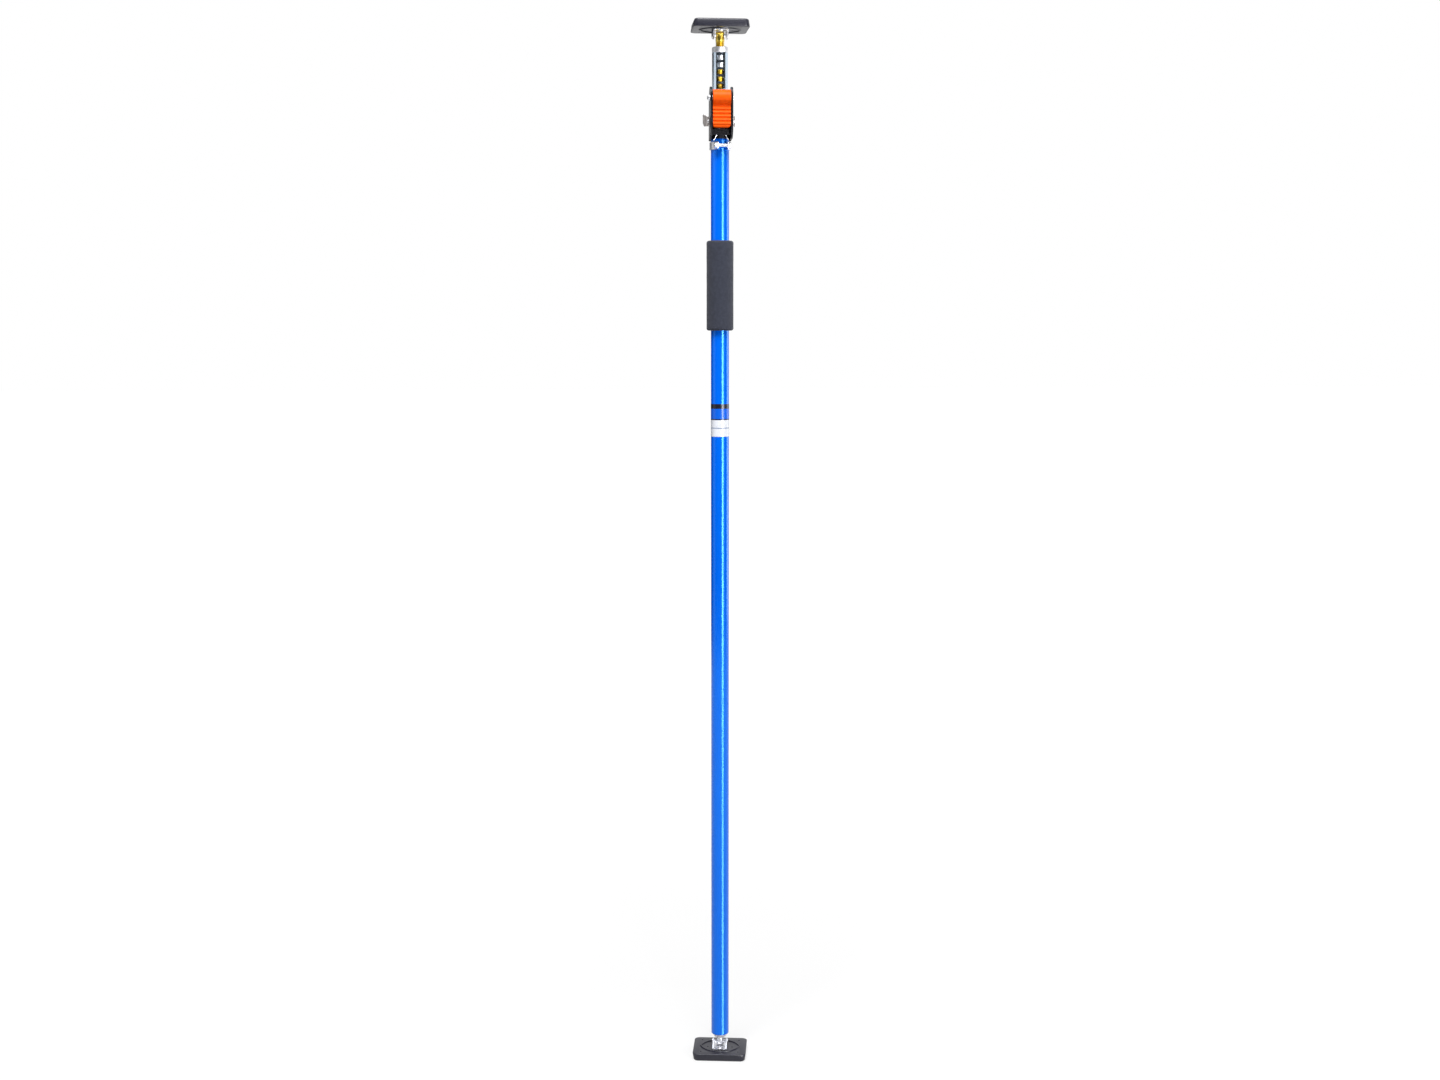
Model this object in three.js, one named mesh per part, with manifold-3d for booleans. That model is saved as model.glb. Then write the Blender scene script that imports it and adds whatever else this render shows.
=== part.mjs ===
// Telescopic support rod with a ratchet handle, drawn closed.
// Millimetres, +Z up, the handle faces -Y, origin at the middle of the foot pad's floor face.

import * as THREE from 'three';
import { mergeVertices } from 'three/addons/utils/BufferGeometryUtils.js';
import Module from 'manifold-3d';

const wasm = await Module();
wasm.setup();

// Facets and angles
const tubeSides = 40;
const pinSides = 16;
const holeSides = 12;
const hexSides = 6;
const arcSteps = 4;
const wireSides = 6;
const fullTurn = 2 * Math.PI;
const halfTurn = Math.PI;
const quarterTurn = Math.PI / 2;
const degree = Math.PI / 180;

// Fits
const seatGap = 0.3;
const runGap = 0.3;
const overrun = 4;

// Whole rod
const closedLength = 1450;
const footYaw = -8.5 * degree;

// Shoe: the pad at either end, with its yoke
const padWidth = 76;
const padDepth = 60;
const padThickness = 11;
const padCorner = 7;
const padDraft = 1.2;
const padEdge = 2.4;
const padLip = 0.8;
const lensHalfLength = 29;
const lensHalfWidth = 22;
const beadWidth = 2.2;
const beadHeight = 1.2;
const beadRoot = 0.5;
const moldHoleRadius = 1.1;
const moldHoleDepth = 4;
const outerHoleX = 26.5;
const outerHoleY = 20;
const innerHoleX = 17.5;
const innerHoleY = 3;
const yokeWidth = 20.5;
const yokeSheet = 2;
const yokeBend = 3;
const yokeLength = 34;
const yokeToe = 3;
const earRadius = 4.8;
const eyeReach = 5.2;
const yokePinRadius = 2.4;
const yokePinHeadRadius = 3.5;
const yokePinHead = 1;
const rivetRadius = 2;
const rivetHeadRadius = 3.4;
const rivetHead = 1.5;
const rivetSpacing = 26;
const rivetRecess = 3;
const rivetTailRadius = 3.2;

// Foot stud and plug
const studRadius = 5;
const studHeadRadius = 7.5;
const studHead = 4;
const plugTipZ = 26;
const plugTipRadius = 7.6;
const plugShoulderRadius = 10.4;
const plugShoulder = 1.5;
const plugDepth = 29;
const plugLead = 1;

// Outer tube and grip
const outerRadius = 12.5;
const outerWall = 1.2;
const outerBottomZ = 32;
const gripDrop = 136;
const gripLength = 122;
const gripRadius = 18.5;
const gripRound = 3;
const gripStep = 1.2;

// Inner tube with its row of windows
const innerRadius = 10.8;
const innerWall = 1;
const flatWidth = 12.5;
const innerTopDrop = 22.9;
const innerBottomRise = 43;
const windowPitch = 9.5;
const windowWidth = 10;
const windowHeight = 6;
const firstWindowDrop = 6.7;
const windowTail = 115;
const guideFlange = 5;
const guideSpigot = 14;
const guideSpigotRadius = 7.4;

// Adjusting nut and screw
const screwRadius = 6;
const screwLength = 86;
const screwLead = 1.5;
const nutHeight = 7.4;
const nutChamfer = 0.8;
const nutSleeveRadius = 7.5;
const nutSleeve = 20;

// Guide bush on the mouth of the outer tube
const bushHeight = 8;
const bushRound = 1;

// Housing of the ratchet
const housingInside = 12.9;
const housingSheet = 2.4;
const housingTopRise = 15.5;
const housingTailDrop = 26;
const housingFrontY = -28;
const housingPeakY = -15;
const housingShoulder = 12;
const housingChinDrop = 35.5;
const housingHeelDrop = 1;
const housingHeelY = -13;
const tailHalfWidth = 7;
const tailTopDrop = 2;
const bridgeHeight = 8;
const bridgeSheet = 2.4;
const bridgeY = -20;
const bridgeDrop = 0.9;
const tongueHalfWidth = 3.1;
const tongueLength = 5;

// Clamp band under the housing
const bandSheet = 1.5;
const bandHeight = 10;
const bandTopDrop = 4.4;
const bandGap = 13;
const bandEar = 21;
const bandEarRound = 4;
const bandYaw = 7 * degree;
const clampBoltRadius = 2.5;
const clampBoltY = -17;
const clampHeadRadius = 4.4;
const clampHead = 3.4;
const clampNut = 2.7;
const clampTail = 0.8;

// Handle with its lever and pawl
const pivotY = -22;
const pivotRise = 52.45;
const pivotPinRadius = 3;
const pivotHeadRadius = 4.2;
const pivotHead = 4;
const pivotTail = 1.3;
const handleHalfWidth = 11.9;
const washerThick = 0.5;
const washerRadius = 4.2;
const knuckleRadius = 11;
const bladeFront = 5;
const bladeRear = 3.5;
const bladeLength = 39.4;
const bladeFoot = 2.5;
const bladeCorner = 4;
const ribCount = 5;
const ribPitch = 4.9;
const ribRadius = 1.7;
const ribHeight = 1.1;
const lowestRibRise = 5;
const leverHalfWidth = 7;
const leverHub = 7.4;
const leverEar = 3;
const leverTongueFront = 1.7;
const leverTongueRear = 2.2;
const leverTongueEnd = 5;
const pumpSwing = 70 * degree;
const pawlHalfWidth = 4;
const pawlHub = 2.8;
const pawlRise = 2.9;
const pawlTip = 1.6;
const pawlPinRadius = 1.5;
const pawlWindow = 5;

// Release latch with its holding pawl and finger wings
const latchY = -13.2;
const latchWindow = 8;
const latchDrop = 9.3;
const latchSwing = 16 * degree;
const latchShaftRadius = 2.5;
const latchHub = 3.9;
const toothReach = 6.3;
const toothRoot = 4.3;
const toothTop = 11.4;
const toothBottom = 7.2;
const latchHalfWidth = 4;
const wingSheet = 1.6;
const wingHubLength = 10;
const wingBend = 5;
const wingSpan = 23.8;
const wingBelow = 5.6;
const wingAbove = 10.8;
const wingHorn = 3.2;
const wingHubRise = 5;
const shaftTail = 1;

// Wire spring between the latch and the clamp
const wireRadius = 0.8;
const wireTension = 0.2;
const wireTopDrop = 3.1;
const wireHalfTop = 3.6;
const wireHalfLow = 10;
const wireLowDrop = 2.7;
const wireTopY = -16.2;
const wireLowY = -15.4;

// Sizes that follow from the ones above
const outerBore = outerRadius - outerWall;
const innerBore = innerRadius - innerWall;
const flatY = -Math.sqrt(innerRadius ** 2 - (flatWidth / 2) ** 2);
const padFaceZ = padThickness;
const yokeBaseZ = padFaceZ + seatGap;
const yokeFloorZ = yokeBaseZ + yokeSheet;
const shoePinZ = yokeFloorZ + runGap + eyeReach;
const headPinZ = closedLength - shoePinZ;
const innerTopZ = headPinZ - innerTopDrop;
const innerBottomZ = outerBottomZ + innerBottomRise;
const firstWindowZ = innerTopZ - firstWindowDrop;
const windowCount = Math.floor((firstWindowZ - innerBottomZ - windowTail) / windowPitch) + 1;
const windowZ = (index) => firstWindowZ - index * windowPitch;
const pumpRadius = windowPitch / (2 * Math.sin(pumpSwing / 2));
const pawlPinOffsetY = pumpRadius * Math.cos(pumpSwing / 2);
const pawlPinOffsetZ = pumpRadius * Math.sin(pumpSwing / 2);
const pivotZ = windowZ(pawlWindow) - pawlRise - pawlPinOffsetZ;
const outerTopZ = pivotZ - pivotRise;
const gripBottomZ = outerTopZ - gripDrop - gripLength;
const pawlReach = flatY - runGap - (pivotY + pumpRadius);
const latchZ = windowZ(latchWindow) - latchDrop;
const bladeBottomZ = pivotZ - bladeLength;
const bridgeTopZ = bladeBottomZ - bridgeDrop;
const bandTopZ = outerTopZ - bandTopDrop;
const housingOutside = housingInside + housingSheet;
const washerX = (handleHalfWidth + housingInside) / 2;

// Turns a geometry into a solid that can be cut and joined.
function solidOf(geometry) {
  const bare = geometry.clone();
  bare.deleteAttribute('normal');
  bare.deleteAttribute('uv');
  const merged = mergeVertices(bare);
  const index = merged.index.array;
  const kept = [];
  for (let i = 0; i < index.length; i += 3) {
    const [a, b, c] = [index[i], index[i + 1], index[i + 2]];
    if (a !== b && b !== c && c !== a) kept.push(a, b, c);
  }
  return new wasm.Manifold(new wasm.Mesh({
    numProp: 3,
    vertProperties: new Float32Array(merged.attributes.position.array),
    triVerts: new Uint32Array(kept),
  }));
}

function geometryOf(solid) {
  const mesh = solid.getMesh();
  const geometry = new THREE.BufferGeometry();
  geometry.setAttribute('position', new THREE.BufferAttribute(mesh.vertProperties, 3));
  geometry.setIndex(new THREE.BufferAttribute(mesh.triVerts, 1));
  geometry.computeVertexNormals();
  return geometry;
}

const join = (...shapes) => geometryOf(shapes.map(solidOf).reduce((sum, next) => sum.add(next)));
const common = (a, b) => geometryOf(solidOf(a).intersect(solidOf(b)));

function cut(body, ...tools) {
  const removed = tools.map(solidOf).reduce((sum, next) => sum.add(next));
  return geometryOf(solidOf(body).subtract(removed));
}

// Revolves a closed outline of [radius, height] points about the Z axis.
function turned(outline, sides = tubeSides) {
  const points = outline.map(([radius, height]) => new THREE.Vector2(radius, height));
  if (THREE.ShapeUtils.area(points) < 0) points.reverse();
  const hollow = points.every((point) => point.x > 0);
  if (hollow) points.push(points[0].clone());
  return new THREE.LatheGeometry(points, sides).rotateX(quarterTurn);
}

const ring = (outside, inside, bottom, top, sides) => turned(
  [[inside, bottom], [outside, bottom], [outside, top], [inside, top]], sides);
const disc = (radius, bottom, top, sides) => turned(
  [[0, bottom], [radius, bottom], [radius, top], [0, top]], sides);

// Turns a piece made along Z so that it lies along X.
const alongX = (geometry) => geometry.rotateY(quarterTurn);

// Extrudes a YZ outline along X, an XZ outline along Y, and an XY outline along Z.
function slab(shape, from, to, basis) {
  const geometry = new THREE.ExtrudeGeometry(shape, {
    depth: to - from, bevelEnabled: false, curveSegments: arcSteps,
  });
  return geometry.translate(0, 0, from).applyMatrix4(basis);
}
const sideBasis = new THREE.Matrix4().makeBasis(
  new THREE.Vector3(0, 1, 0), new THREE.Vector3(0, 0, 1), new THREE.Vector3(1, 0, 0));
const frontBasis = new THREE.Matrix4().makeBasis(
  new THREE.Vector3(1, 0, 0), new THREE.Vector3(0, 0, 1), new THREE.Vector3(0, -1, 0));
const sideSlab = (shape, halfWidth) => slab(shape, -halfWidth, halfWidth, sideBasis);
const frontSlab = (shape, rear, front) => slab(shape, -rear, -front, frontBasis);
const flatSlab = (shape, bottom, top) => slab(shape, bottom, top, new THREE.Matrix4());

function block(x0, x1, y0, y1, z0, z1) {
  const box = new THREE.BoxGeometry(x1 - x0, y1 - y0, z1 - z0);
  return box.translate((x0 + x1) / 2, (y0 + y1) / 2, (z0 + z1) / 2);
}

function circleOutline(a, b, radius) {
  const shape = new THREE.Shape();
  shape.absarc(a, b, radius, 0, fullTurn, false);
  return shape;
}

function roundedRectangle(width, depth, corner) {
  const x = width / 2;
  const y = depth / 2;
  const shape = new THREE.Shape();
  shape.absarc(x - corner, y - corner, corner, 0, quarterTurn, false);
  shape.absarc(corner - x, y - corner, corner, quarterTurn, halfTurn, false);
  shape.absarc(corner - x, corner - y, corner, halfTurn, halfTurn + quarterTurn, false);
  shape.absarc(x - corner, corner - y, corner, halfTurn + quarterTurn, fullTurn, false);
  return shape;
}

// Skins a stack of rounded rectangles, each given as [height, inset from the full size].
function loftedPad(levels) {
  const rings = levels.map(([height, inset]) => roundedRectangle(
    padWidth - 2 * inset, padDepth - 2 * inset, padCorner - inset / 2)
    .getPoints(arcSteps).slice(0, -1).map((point) => [point.x, point.y, height]));
  const count = rings[0].length;
  const positions = rings.flat(2);
  const low = positions.push(0, 0, levels[0][0]) / 3 - 1;
  const high = positions.push(0, 0, levels.at(-1)[0]) / 3 - 1;
  const triangles = [];
  for (let i = 0; i < count; i += 1) {
    const next = (i + 1) % count;
    for (let level = 0; level < rings.length - 1; level += 1) {
      const a = level * count + i;
      const b = level * count + next;
      triangles.push(a, b, b + count, a, b + count, a + count);
    }
    const top = (rings.length - 1) * count;
    triangles.push(low, next, i, high, top + i, top + next);
  }
  const geometry = new THREE.BufferGeometry();
  geometry.setAttribute('position', new THREE.Float32BufferAttribute(positions, 3));
  geometry.setIndex(triangles);
  return geometry;
}

// Finishes
const finish = (color, roughness, metalness) => () => new THREE.MeshStandardMaterial(
  { color, roughness, metalness });
const bluePaint = finish(0x0a6be6, 0.3, 0.1);
const blackPaint = finish(0x15161a, 0.4, 0.2);
const zincPlate = finish(0xc9ccd2, 0.35, 0.9);
const yellowZinc = finish(0xd9a930, 0.35, 0.9);
const padRubber = finish(0x53536a, 0.8, 0);
const orangePlastic = finish(0xff5a0a, 0.45, 0);
const blackPlastic = finish(0x1b1b1f, 0.5, 0);
const whitePlastic = finish(0xf0ebef, 0.5, 0);
const gripFoam = finish(0x343a4a, 0.9, 0);

const rod = new THREE.Group();

function piece(parent, name, geometry, material) {
  const mesh = new THREE.Mesh(geometry, material());
  mesh.name = name;
  parent.add(mesh);
  return mesh;
}

// Pad
// The pad narrows towards its floor face and has a pointed-oval bead round the yoke.
function lensOutline(inset) {
  const halfLength = lensHalfLength - inset;
  const halfWidth = lensHalfWidth - inset;
  const radius = (halfLength ** 2 + halfWidth ** 2) / (2 * halfWidth);
  const centre = radius - halfWidth;
  const half = Math.asin(halfLength / radius);
  const shape = new THREE.Shape();
  shape.absarc(0, -centre, radius, quarterTurn - half, quarterTurn + half, false);
  shape.absarc(0, centre, radius, -quarterTurn - half, -quarterTurn + half, false);
  return shape;
}

function padShape() {
  const body = loftedPad([
    [0, padDraft + padEdge],
    [padEdge / 3, padDraft + padEdge / 3],
    [padEdge, padDraft],
    [padThickness - padLip, 0],
    [padThickness, padLip],
  ]);
  const bead = lensOutline(0);
  bead.holes.push(lensOutline(beadWidth));
  const raised = join(body, flatSlab(bead, padFaceZ - beadRoot, padFaceZ + beadHeight));
  const cuts = [];
  const holeFloor = padFaceZ - moldHoleDepth;
  const marks = [
    [-outerHoleX, outerHoleY], [-innerHoleX, -innerHoleY], [-outerHoleX, -outerHoleY],
    [outerHoleX, outerHoleY], [innerHoleX, -innerHoleY], [outerHoleX, -outerHoleY],
  ];
  for (const [x, y] of marks) {
    const drill = disc(moldHoleRadius, holeFloor, padFaceZ + overrun, holeSides);
    cuts.push(drill.translate(x, y, 0));
  }
  for (const y of [-rivetSpacing / 2, rivetSpacing / 2]) {
    const bore = disc(rivetRadius + seatGap, -overrun, padFaceZ + overrun, holeSides);
    const recess = disc(rivetTailRadius + seatGap, -overrun, rivetRecess, pinSides);
    cuts.push(bore.translate(0, y, 0), recess.translate(0, y, 0));
  }
  return cut(raised, ...cuts);
}

// Yoke
// A folded channel whose two ears taper from the base up to the pin.
function yokeShape() {
  const half = yokeWidth / 2;
  const top = shoePinZ + earRadius + overrun;
  const section = new THREE.Shape();
  section.moveTo(-half, top);
  section.lineTo(-half, yokeBaseZ + yokeBend);
  section.absarc(yokeBend - half, yokeBaseZ + yokeBend, yokeBend, halfTurn, halfTurn + quarterTurn, false);
  section.absarc(half - yokeBend, yokeBaseZ + yokeBend, yokeBend, -quarterTurn, 0, false);
  section.lineTo(half, top);
  section.lineTo(half - yokeSheet, top);
  const inner = yokeBend - yokeSheet;
  section.absarc(half - yokeBend, yokeBaseZ + yokeBend, inner, 0, -quarterTurn, true);
  section.absarc(yokeBend - half, yokeBaseZ + yokeBend, inner, -quarterTurn, -halfTurn, true);
  section.lineTo(yokeSheet - half, top);
  const channel = frontSlab(section, yokeLength / 2, -yokeLength / 2);

  const toe = yokeLength / 2;
  const lean = Math.atan2(toe - earRadius, shoePinZ - yokeBaseZ - yokeToe);
  const profile = new THREE.Shape();
  profile.moveTo(-toe, yokeBaseZ - overrun);
  profile.lineTo(toe, yokeBaseZ - overrun);
  profile.lineTo(toe, yokeBaseZ + yokeToe);
  profile.absarc(0, shoePinZ, earRadius, lean / 2, halfTurn - lean / 2, false);
  profile.lineTo(-toe, yokeBaseZ + yokeToe);
  const folded = common(channel, sideSlab(profile, yokeWidth));

  const pinHole = alongX(disc(yokePinRadius + runGap, -yokeWidth, yokeWidth, pinSides));
  const holes = [pinHole.translate(0, 0, shoePinZ)];
  for (const y of [-rivetSpacing / 2, rivetSpacing / 2]) {
    const bore = disc(rivetRadius + seatGap, yokeBaseZ - overrun, yokeFloorZ + overrun, holeSides);
    holes.push(bore.translate(0, y, 0));
  }
  return cut(folded, ...holes);
}

function yokePinShape() {
  const seat = yokeWidth / 2 + seatGap;
  const end = seat + yokePinHead;
  return alongX(turned([
    [0, -end], [yokePinHeadRadius - yokePinHead / 2, -end], [yokePinHeadRadius, -seat - yokePinHead / 2],
    [yokePinHeadRadius, -seat], [yokePinRadius, -seat], [yokePinRadius, seat],
    [yokePinHeadRadius, seat], [yokePinHeadRadius, seat + yokePinHead / 2],
    [yokePinHeadRadius - yokePinHead / 2, end], [0, end],
  ], pinSides)).translate(0, 0, shoePinZ);
}

function rivetShape() {
  const seat = yokeFloorZ + seatGap;
  const tail = rivetRecess - seatGap;
  return turned([
    [0, tail - rivetHead], [rivetTailRadius, tail - rivetHead], [rivetTailRadius, tail],
    [rivetRadius, tail], [rivetRadius, seat], [rivetHeadRadius, seat],
    [rivetHeadRadius, seat + rivetHead / 2], [rivetHeadRadius / 2, seat + rivetHead],
    [0, seat + rivetHead],
  ], pinSides);
}

// One shoe: pad down, with its floor face at the group's origin.
function makeShoe(end) {
  const shoe = new THREE.Group();
  piece(shoe, `${end}_pad`, padShape(), padRubber);
  piece(shoe, `${end}_yoke`, yokeShape(), zincPlate);
  piece(shoe, `${end}_pin`, yokePinShape(), zincPlate);
  piece(shoe, `${end}_rivet_front`, rivetShape().translate(0, -rivetSpacing / 2, 0), zincPlate);
  piece(shoe, `${end}_rivet_back`, rivetShape().translate(0, rivetSpacing / 2, 0), zincPlate);
  return shoe;
}

// A round shank whose end is flattened front and back into an eye for the yoke pin.
// The eye sits at the group's origin and the shank runs up from it.
function eyeEnded(shank, radius, reach) {
  const top = 2 * closedLength;
  const profile = new THREE.Shape();
  profile.moveTo(radius + overrun, 2 * reach);
  profile.lineTo(radius + overrun, top);
  profile.lineTo(-radius - overrun, top);
  profile.lineTo(-radius - overrun, 2 * reach);
  profile.lineTo(-reach, radius + reach / 2);
  profile.absarc(0, 0, reach, halfTurn, fullTurn, false);
  profile.lineTo(reach, radius + reach / 2);
  const trimmed = common(shank, sideSlab(profile, radius + overrun));
  return cut(trimmed, alongX(disc(yokePinRadius + runGap, -radius - overrun, radius + overrun, pinSides)));
}

function makeFoot() {
  const foot = makeShoe('foot');
  const plugTopZ = outerBottomZ + plugDepth;
  const headSeat = plugTopZ + seatGap - shoePinZ;
  const shank = turned([
    [0, -eyeReach], [studRadius, -eyeReach], [studRadius, headSeat], [studHeadRadius, headSeat],
    [studHeadRadius, headSeat + studHead], [0, headSeat + studHead],
  ], pinSides);
  const stud = eyeEnded(shank, studRadius, eyeReach - runGap);
  piece(foot, 'foot_stud', stud.translate(0, 0, shoePinZ), zincPlate);
  foot.rotation.z = footYaw;
  return foot;
}

function makeHead() {
  const head = makeShoe('top');
  const shank = turned([
    [0, -eyeReach], [screwRadius, -eyeReach], [screwRadius, screwLength - screwLead],
    [screwRadius - screwLead, screwLength], [0, screwLength],
  ], pinSides);
  const screw = eyeEnded(shank, screwRadius, eyeReach);
  piece(head, 'adjusting_screw', screw.translate(0, 0, shoePinZ), yellowZinc);
  head.rotation.x = halfTurn;
  head.position.z = closedLength;
  return head;
}

// Outer tube and what is fixed on it
function plugShape() {
  const bore = studRadius + runGap;
  const spigot = outerBore - seatGap;
  const top = outerBottomZ + plugDepth;
  return turned([
    [bore, plugTipZ], [plugTipRadius, plugTipZ], [plugShoulderRadius, outerBottomZ - plugShoulder],
    [spigot, outerBottomZ], [spigot, top - plugLead], [spigot - plugLead, top], [bore, top],
  ]);
}

function gripShape() {
  const bore = outerRadius + seatGap;
  const outline = [[bore, 0], [gripRadius - gripRound, 0]];
  for (let step = 1; step <= arcSteps / 2; step += 1) {
    const angle = (step / (arcSteps / 2)) * quarterTurn;
    outline.push([
      gripRadius - gripRound + gripRound * Math.sin(angle), gripRound - gripRound * Math.cos(angle)]);
  }
  for (let step = 0; step < arcSteps / 2; step += 1) {
    const angle = (step / (arcSteps / 2)) * quarterTurn;
    outline.push([
      gripRadius - gripRound + gripRound * Math.cos(angle),
      gripLength - gripRound + gripRound * Math.sin(angle)]);
  }
  outline.push([gripRadius - gripRound, gripLength], [bore + gripStep, gripLength]);
  outline.push([bore, gripLength - gripStep]);
  return turned(outline).translate(0, 0, gripBottomZ);
}

// The tube's section: a circle with its front pressed flat.
function flattenedCircle(radius, flat) {
  const half = Math.acos(-flat / radius);
  const shape = new THREE.Shape();
  shape.absarc(0, 0, radius, half - quarterTurn, fullTurn - half - quarterTurn, false);
  return shape;
}

function bushShape() {
  const outline = circleOutline(0, 0, outerRadius);
  outline.holes.push(flattenedCircle(innerRadius + runGap, flatY - runGap));
  const bottom = outerTopZ + seatGap;
  const body = new THREE.ExtrudeGeometry(outline, {
    depth: bushHeight, bevelEnabled: false, curveSegments: tubeSides / 2,
  }).translate(0, 0, bottom);
  const hull = turned([
    [0, bottom - overrun], [outerRadius + overrun, bottom - overrun],
    [outerRadius + overrun, bottom + bushHeight - overrun - bushRound],
    [outerRadius - bushRound, bottom + bushHeight], [0, bottom + bushHeight],
  ]);
  return common(body, hull);
}

// Housing: a folded channel round the back of the tube, with cheeks reaching forward.
function housingSection() {
  const front = housingFrontY - overrun;
  const section = new THREE.Shape();
  section.moveTo(housingOutside, front);
  section.lineTo(housingOutside, 0);
  section.absarc(0, 0, housingOutside, 0, halfTurn, false);
  section.lineTo(-housingOutside, front);
  section.lineTo(-housingInside, front);
  section.absarc(0, 0, housingInside, halfTurn, 0, true);
  section.lineTo(housingInside, front);
  return section;
}

function housingProfile() {
  const back = housingOutside + overrun;
  const top = pivotZ + housingTopRise;
  const heel = outerTopZ - housingHeelDrop;
  const tail = outerTopZ - housingTailDrop;
  const shape = new THREE.Shape();
  shape.moveTo(back, tail);
  shape.lineTo(back, pivotZ);
  shape.lineTo(0, pivotZ);
  shape.quadraticCurveTo(housingPeakY / 2, top, housingPeakY, top);
  shape.quadraticCurveTo(housingFrontY, top, housingFrontY, top - housingShoulder);
  shape.lineTo(housingFrontY, pivotZ - housingChinDrop);
  shape.quadraticCurveTo(housingFrontY, heel, housingHeelY, heel);
  shape.lineTo(0, heel);
  shape.lineTo(0, tail);
  return shape;
}

function housingShape() {
  const tail = outerTopZ - housingTailDrop;
  const walls = new THREE.ExtrudeGeometry(housingSection(), {
    depth: pivotZ + housingTopRise - tail, bevelEnabled: false, curveSegments: tubeSides / 2,
  }).translate(0, 0, tail);
  const cheeks = common(walls, sideSlab(housingProfile(), housingOutside + overrun));
  const low = tail - overrun;
  const tailTop = outerTopZ - tailTopDrop;
  const far = housingOutside + overrun;
  const bridge = block(
    -housingInside - bridgeSheet / 2, housingInside + bridgeSheet / 2, bridgeY, bridgeY + bridgeSheet,
    bridgeTopZ - bridgeHeight, bridgeTopZ);
  const tongue = block(
    -tongueHalfWidth, tongueHalfWidth, bridgeY, bridgeY + bridgeSheet,
    bridgeTopZ - bridgeHeight - tongueLength, bridgeTopZ);
  const pivotHole = alongX(disc(pivotPinRadius + seatGap, -far, far, pinSides));
  const latchHole = alongX(disc(latchShaftRadius + runGap, -far, far, pinSides));
  return cut(
    join(cheeks, bridge, tongue),
    block(tailHalfWidth, far, -far, far, low, tailTop),
    block(-far, -tailHalfWidth, -far, far, low, tailTop),
    pivotHole.translate(0, pivotY, pivotZ),
    latchHole.translate(0, latchY, latchZ));
}

// Clamp band: round the tube and over the housing's tail, with two ears and a bolt in front.
function bandShape() {
  const inside = outerRadius + seatGap;
  const tailInside = housingOutside + seatGap;
  const bottom = bandTopZ - bandHeight;
  const earHalf = bandGap / 2 + bandSheet;
  const humpHalf = tailHalfWidth + seatGap;
  const tailFar = tailInside + bandSheet;
  const sector = (radius, halfWidth) => common(
    disc(radius, bottom - overrun, bandTopZ + overrun),
    block(-halfWidth, halfWidth, 0, radius + overrun, bottom - overrun, bandTopZ + overrun));
  const unturned = [sector(tailFar, humpHalf + bandSheet), sector(tailInside, humpHalf)];
  const [humpOut, humpIn] = unturned.map((shape) => shape.rotateZ(-bandYaw));
  const earOutline = new THREE.Shape();
  earOutline.moveTo(0, bottom);
  earOutline.lineTo(0, bandTopZ);
  earOutline.absarc(
    bandEarRound - bandEar, bandTopZ - bandEarRound, bandEarRound, quarterTurn, halfTurn, false);
  earOutline.absarc(
    bandEarRound - bandEar, bottom + bandEarRound, bandEarRound, halfTurn, halfTurn + quarterTurn, false);
  const ears = sideSlab(earOutline, earHalf);
  const around = common(
    join(disc(inside + bandSheet, bottom, bandTopZ), humpOut),
    block(-tailFar, tailFar, -tailFar, tailFar + overrun, bottom, bandTopZ));
  const solid = join(around, ears);
  const boltHole = alongX(disc(clampBoltRadius + seatGap, -earHalf - overrun, earHalf + overrun, pinSides));
  return cut(
    solid,
    disc(inside, bottom - overrun, bandTopZ + overrun),
    humpIn,
    block(-bandGap / 2, bandGap / 2, -bandEar - overrun, 0, bottom - overrun, bandTopZ + overrun),
    boltHole.translate(0, clampBoltY, bandTopZ - bandHeight / 2));
}

function clampBoltShape() {
  const seat = bandGap / 2 + bandSheet + seatGap;
  const end = seat + seatGap + clampNut + clampTail;
  const head = alongX(disc(clampHeadRadius, -seat - clampHead, -seat, hexSides));
  const shank = alongX(disc(clampBoltRadius, -seat - clampHead / 2, end, pinSides));
  return join(head, shank).translate(0, clampBoltY, bandTopZ - bandHeight / 2);
}

function clampNutShape() {
  const seat = bandGap / 2 + bandSheet + seatGap;
  const nut = ring(clampHeadRadius, clampBoltRadius + seatGap, seat, seat + clampNut, 2 * hexSides);
  return alongX(nut).translate(0, clampBoltY, bandTopZ - bandHeight / 2);
}

function makeClamp() {
  const clamp = new THREE.Group();
  piece(clamp, 'clamp_band', bandShape(), zincPlate);
  piece(clamp, 'clamp_bolt', clampBoltShape(), zincPlate);
  piece(clamp, 'clamp_nut', clampNutShape(), zincPlate);
  clamp.rotation.z = bandYaw;
  return clamp;
}

// Pins and washers held by the housing
function pivotPinShape() {
  const seat = housingOutside + seatGap;
  const dome = [[0, -seat - pivotHead]];
  for (let step = 1; step <= arcSteps / 2; step += 1) {
    const angle = (step / (arcSteps / 2)) * quarterTurn;
    dome.push([pivotHeadRadius * Math.sin(angle), -seat - pivotHead * Math.cos(angle)]);
  }
  const tail = pivotPinRadius + seatGap + pivotTail / 2;
  return alongX(turned([
    ...dome, [pivotPinRadius, -seat], [pivotPinRadius, seat], [tail, seat],
    [tail, seat + pivotTail / 2], [pivotPinRadius, seat + pivotTail], [0, seat + pivotTail],
  ], pinSides)).translate(0, pivotY, pivotZ);
}

function makeWashers(parent, label, bore, y, z) {
  for (const [side, sign] of [['left', -1], ['right', 1]]) {
    const washer = alongX(ring(
      washerRadius, bore, sign * washerX - washerThick / 2, sign * washerX + washerThick / 2, pinSides));
    piece(parent, `${label}_washer_${side}`, washer.translate(0, y, z), zincPlate);
  }
}

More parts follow.
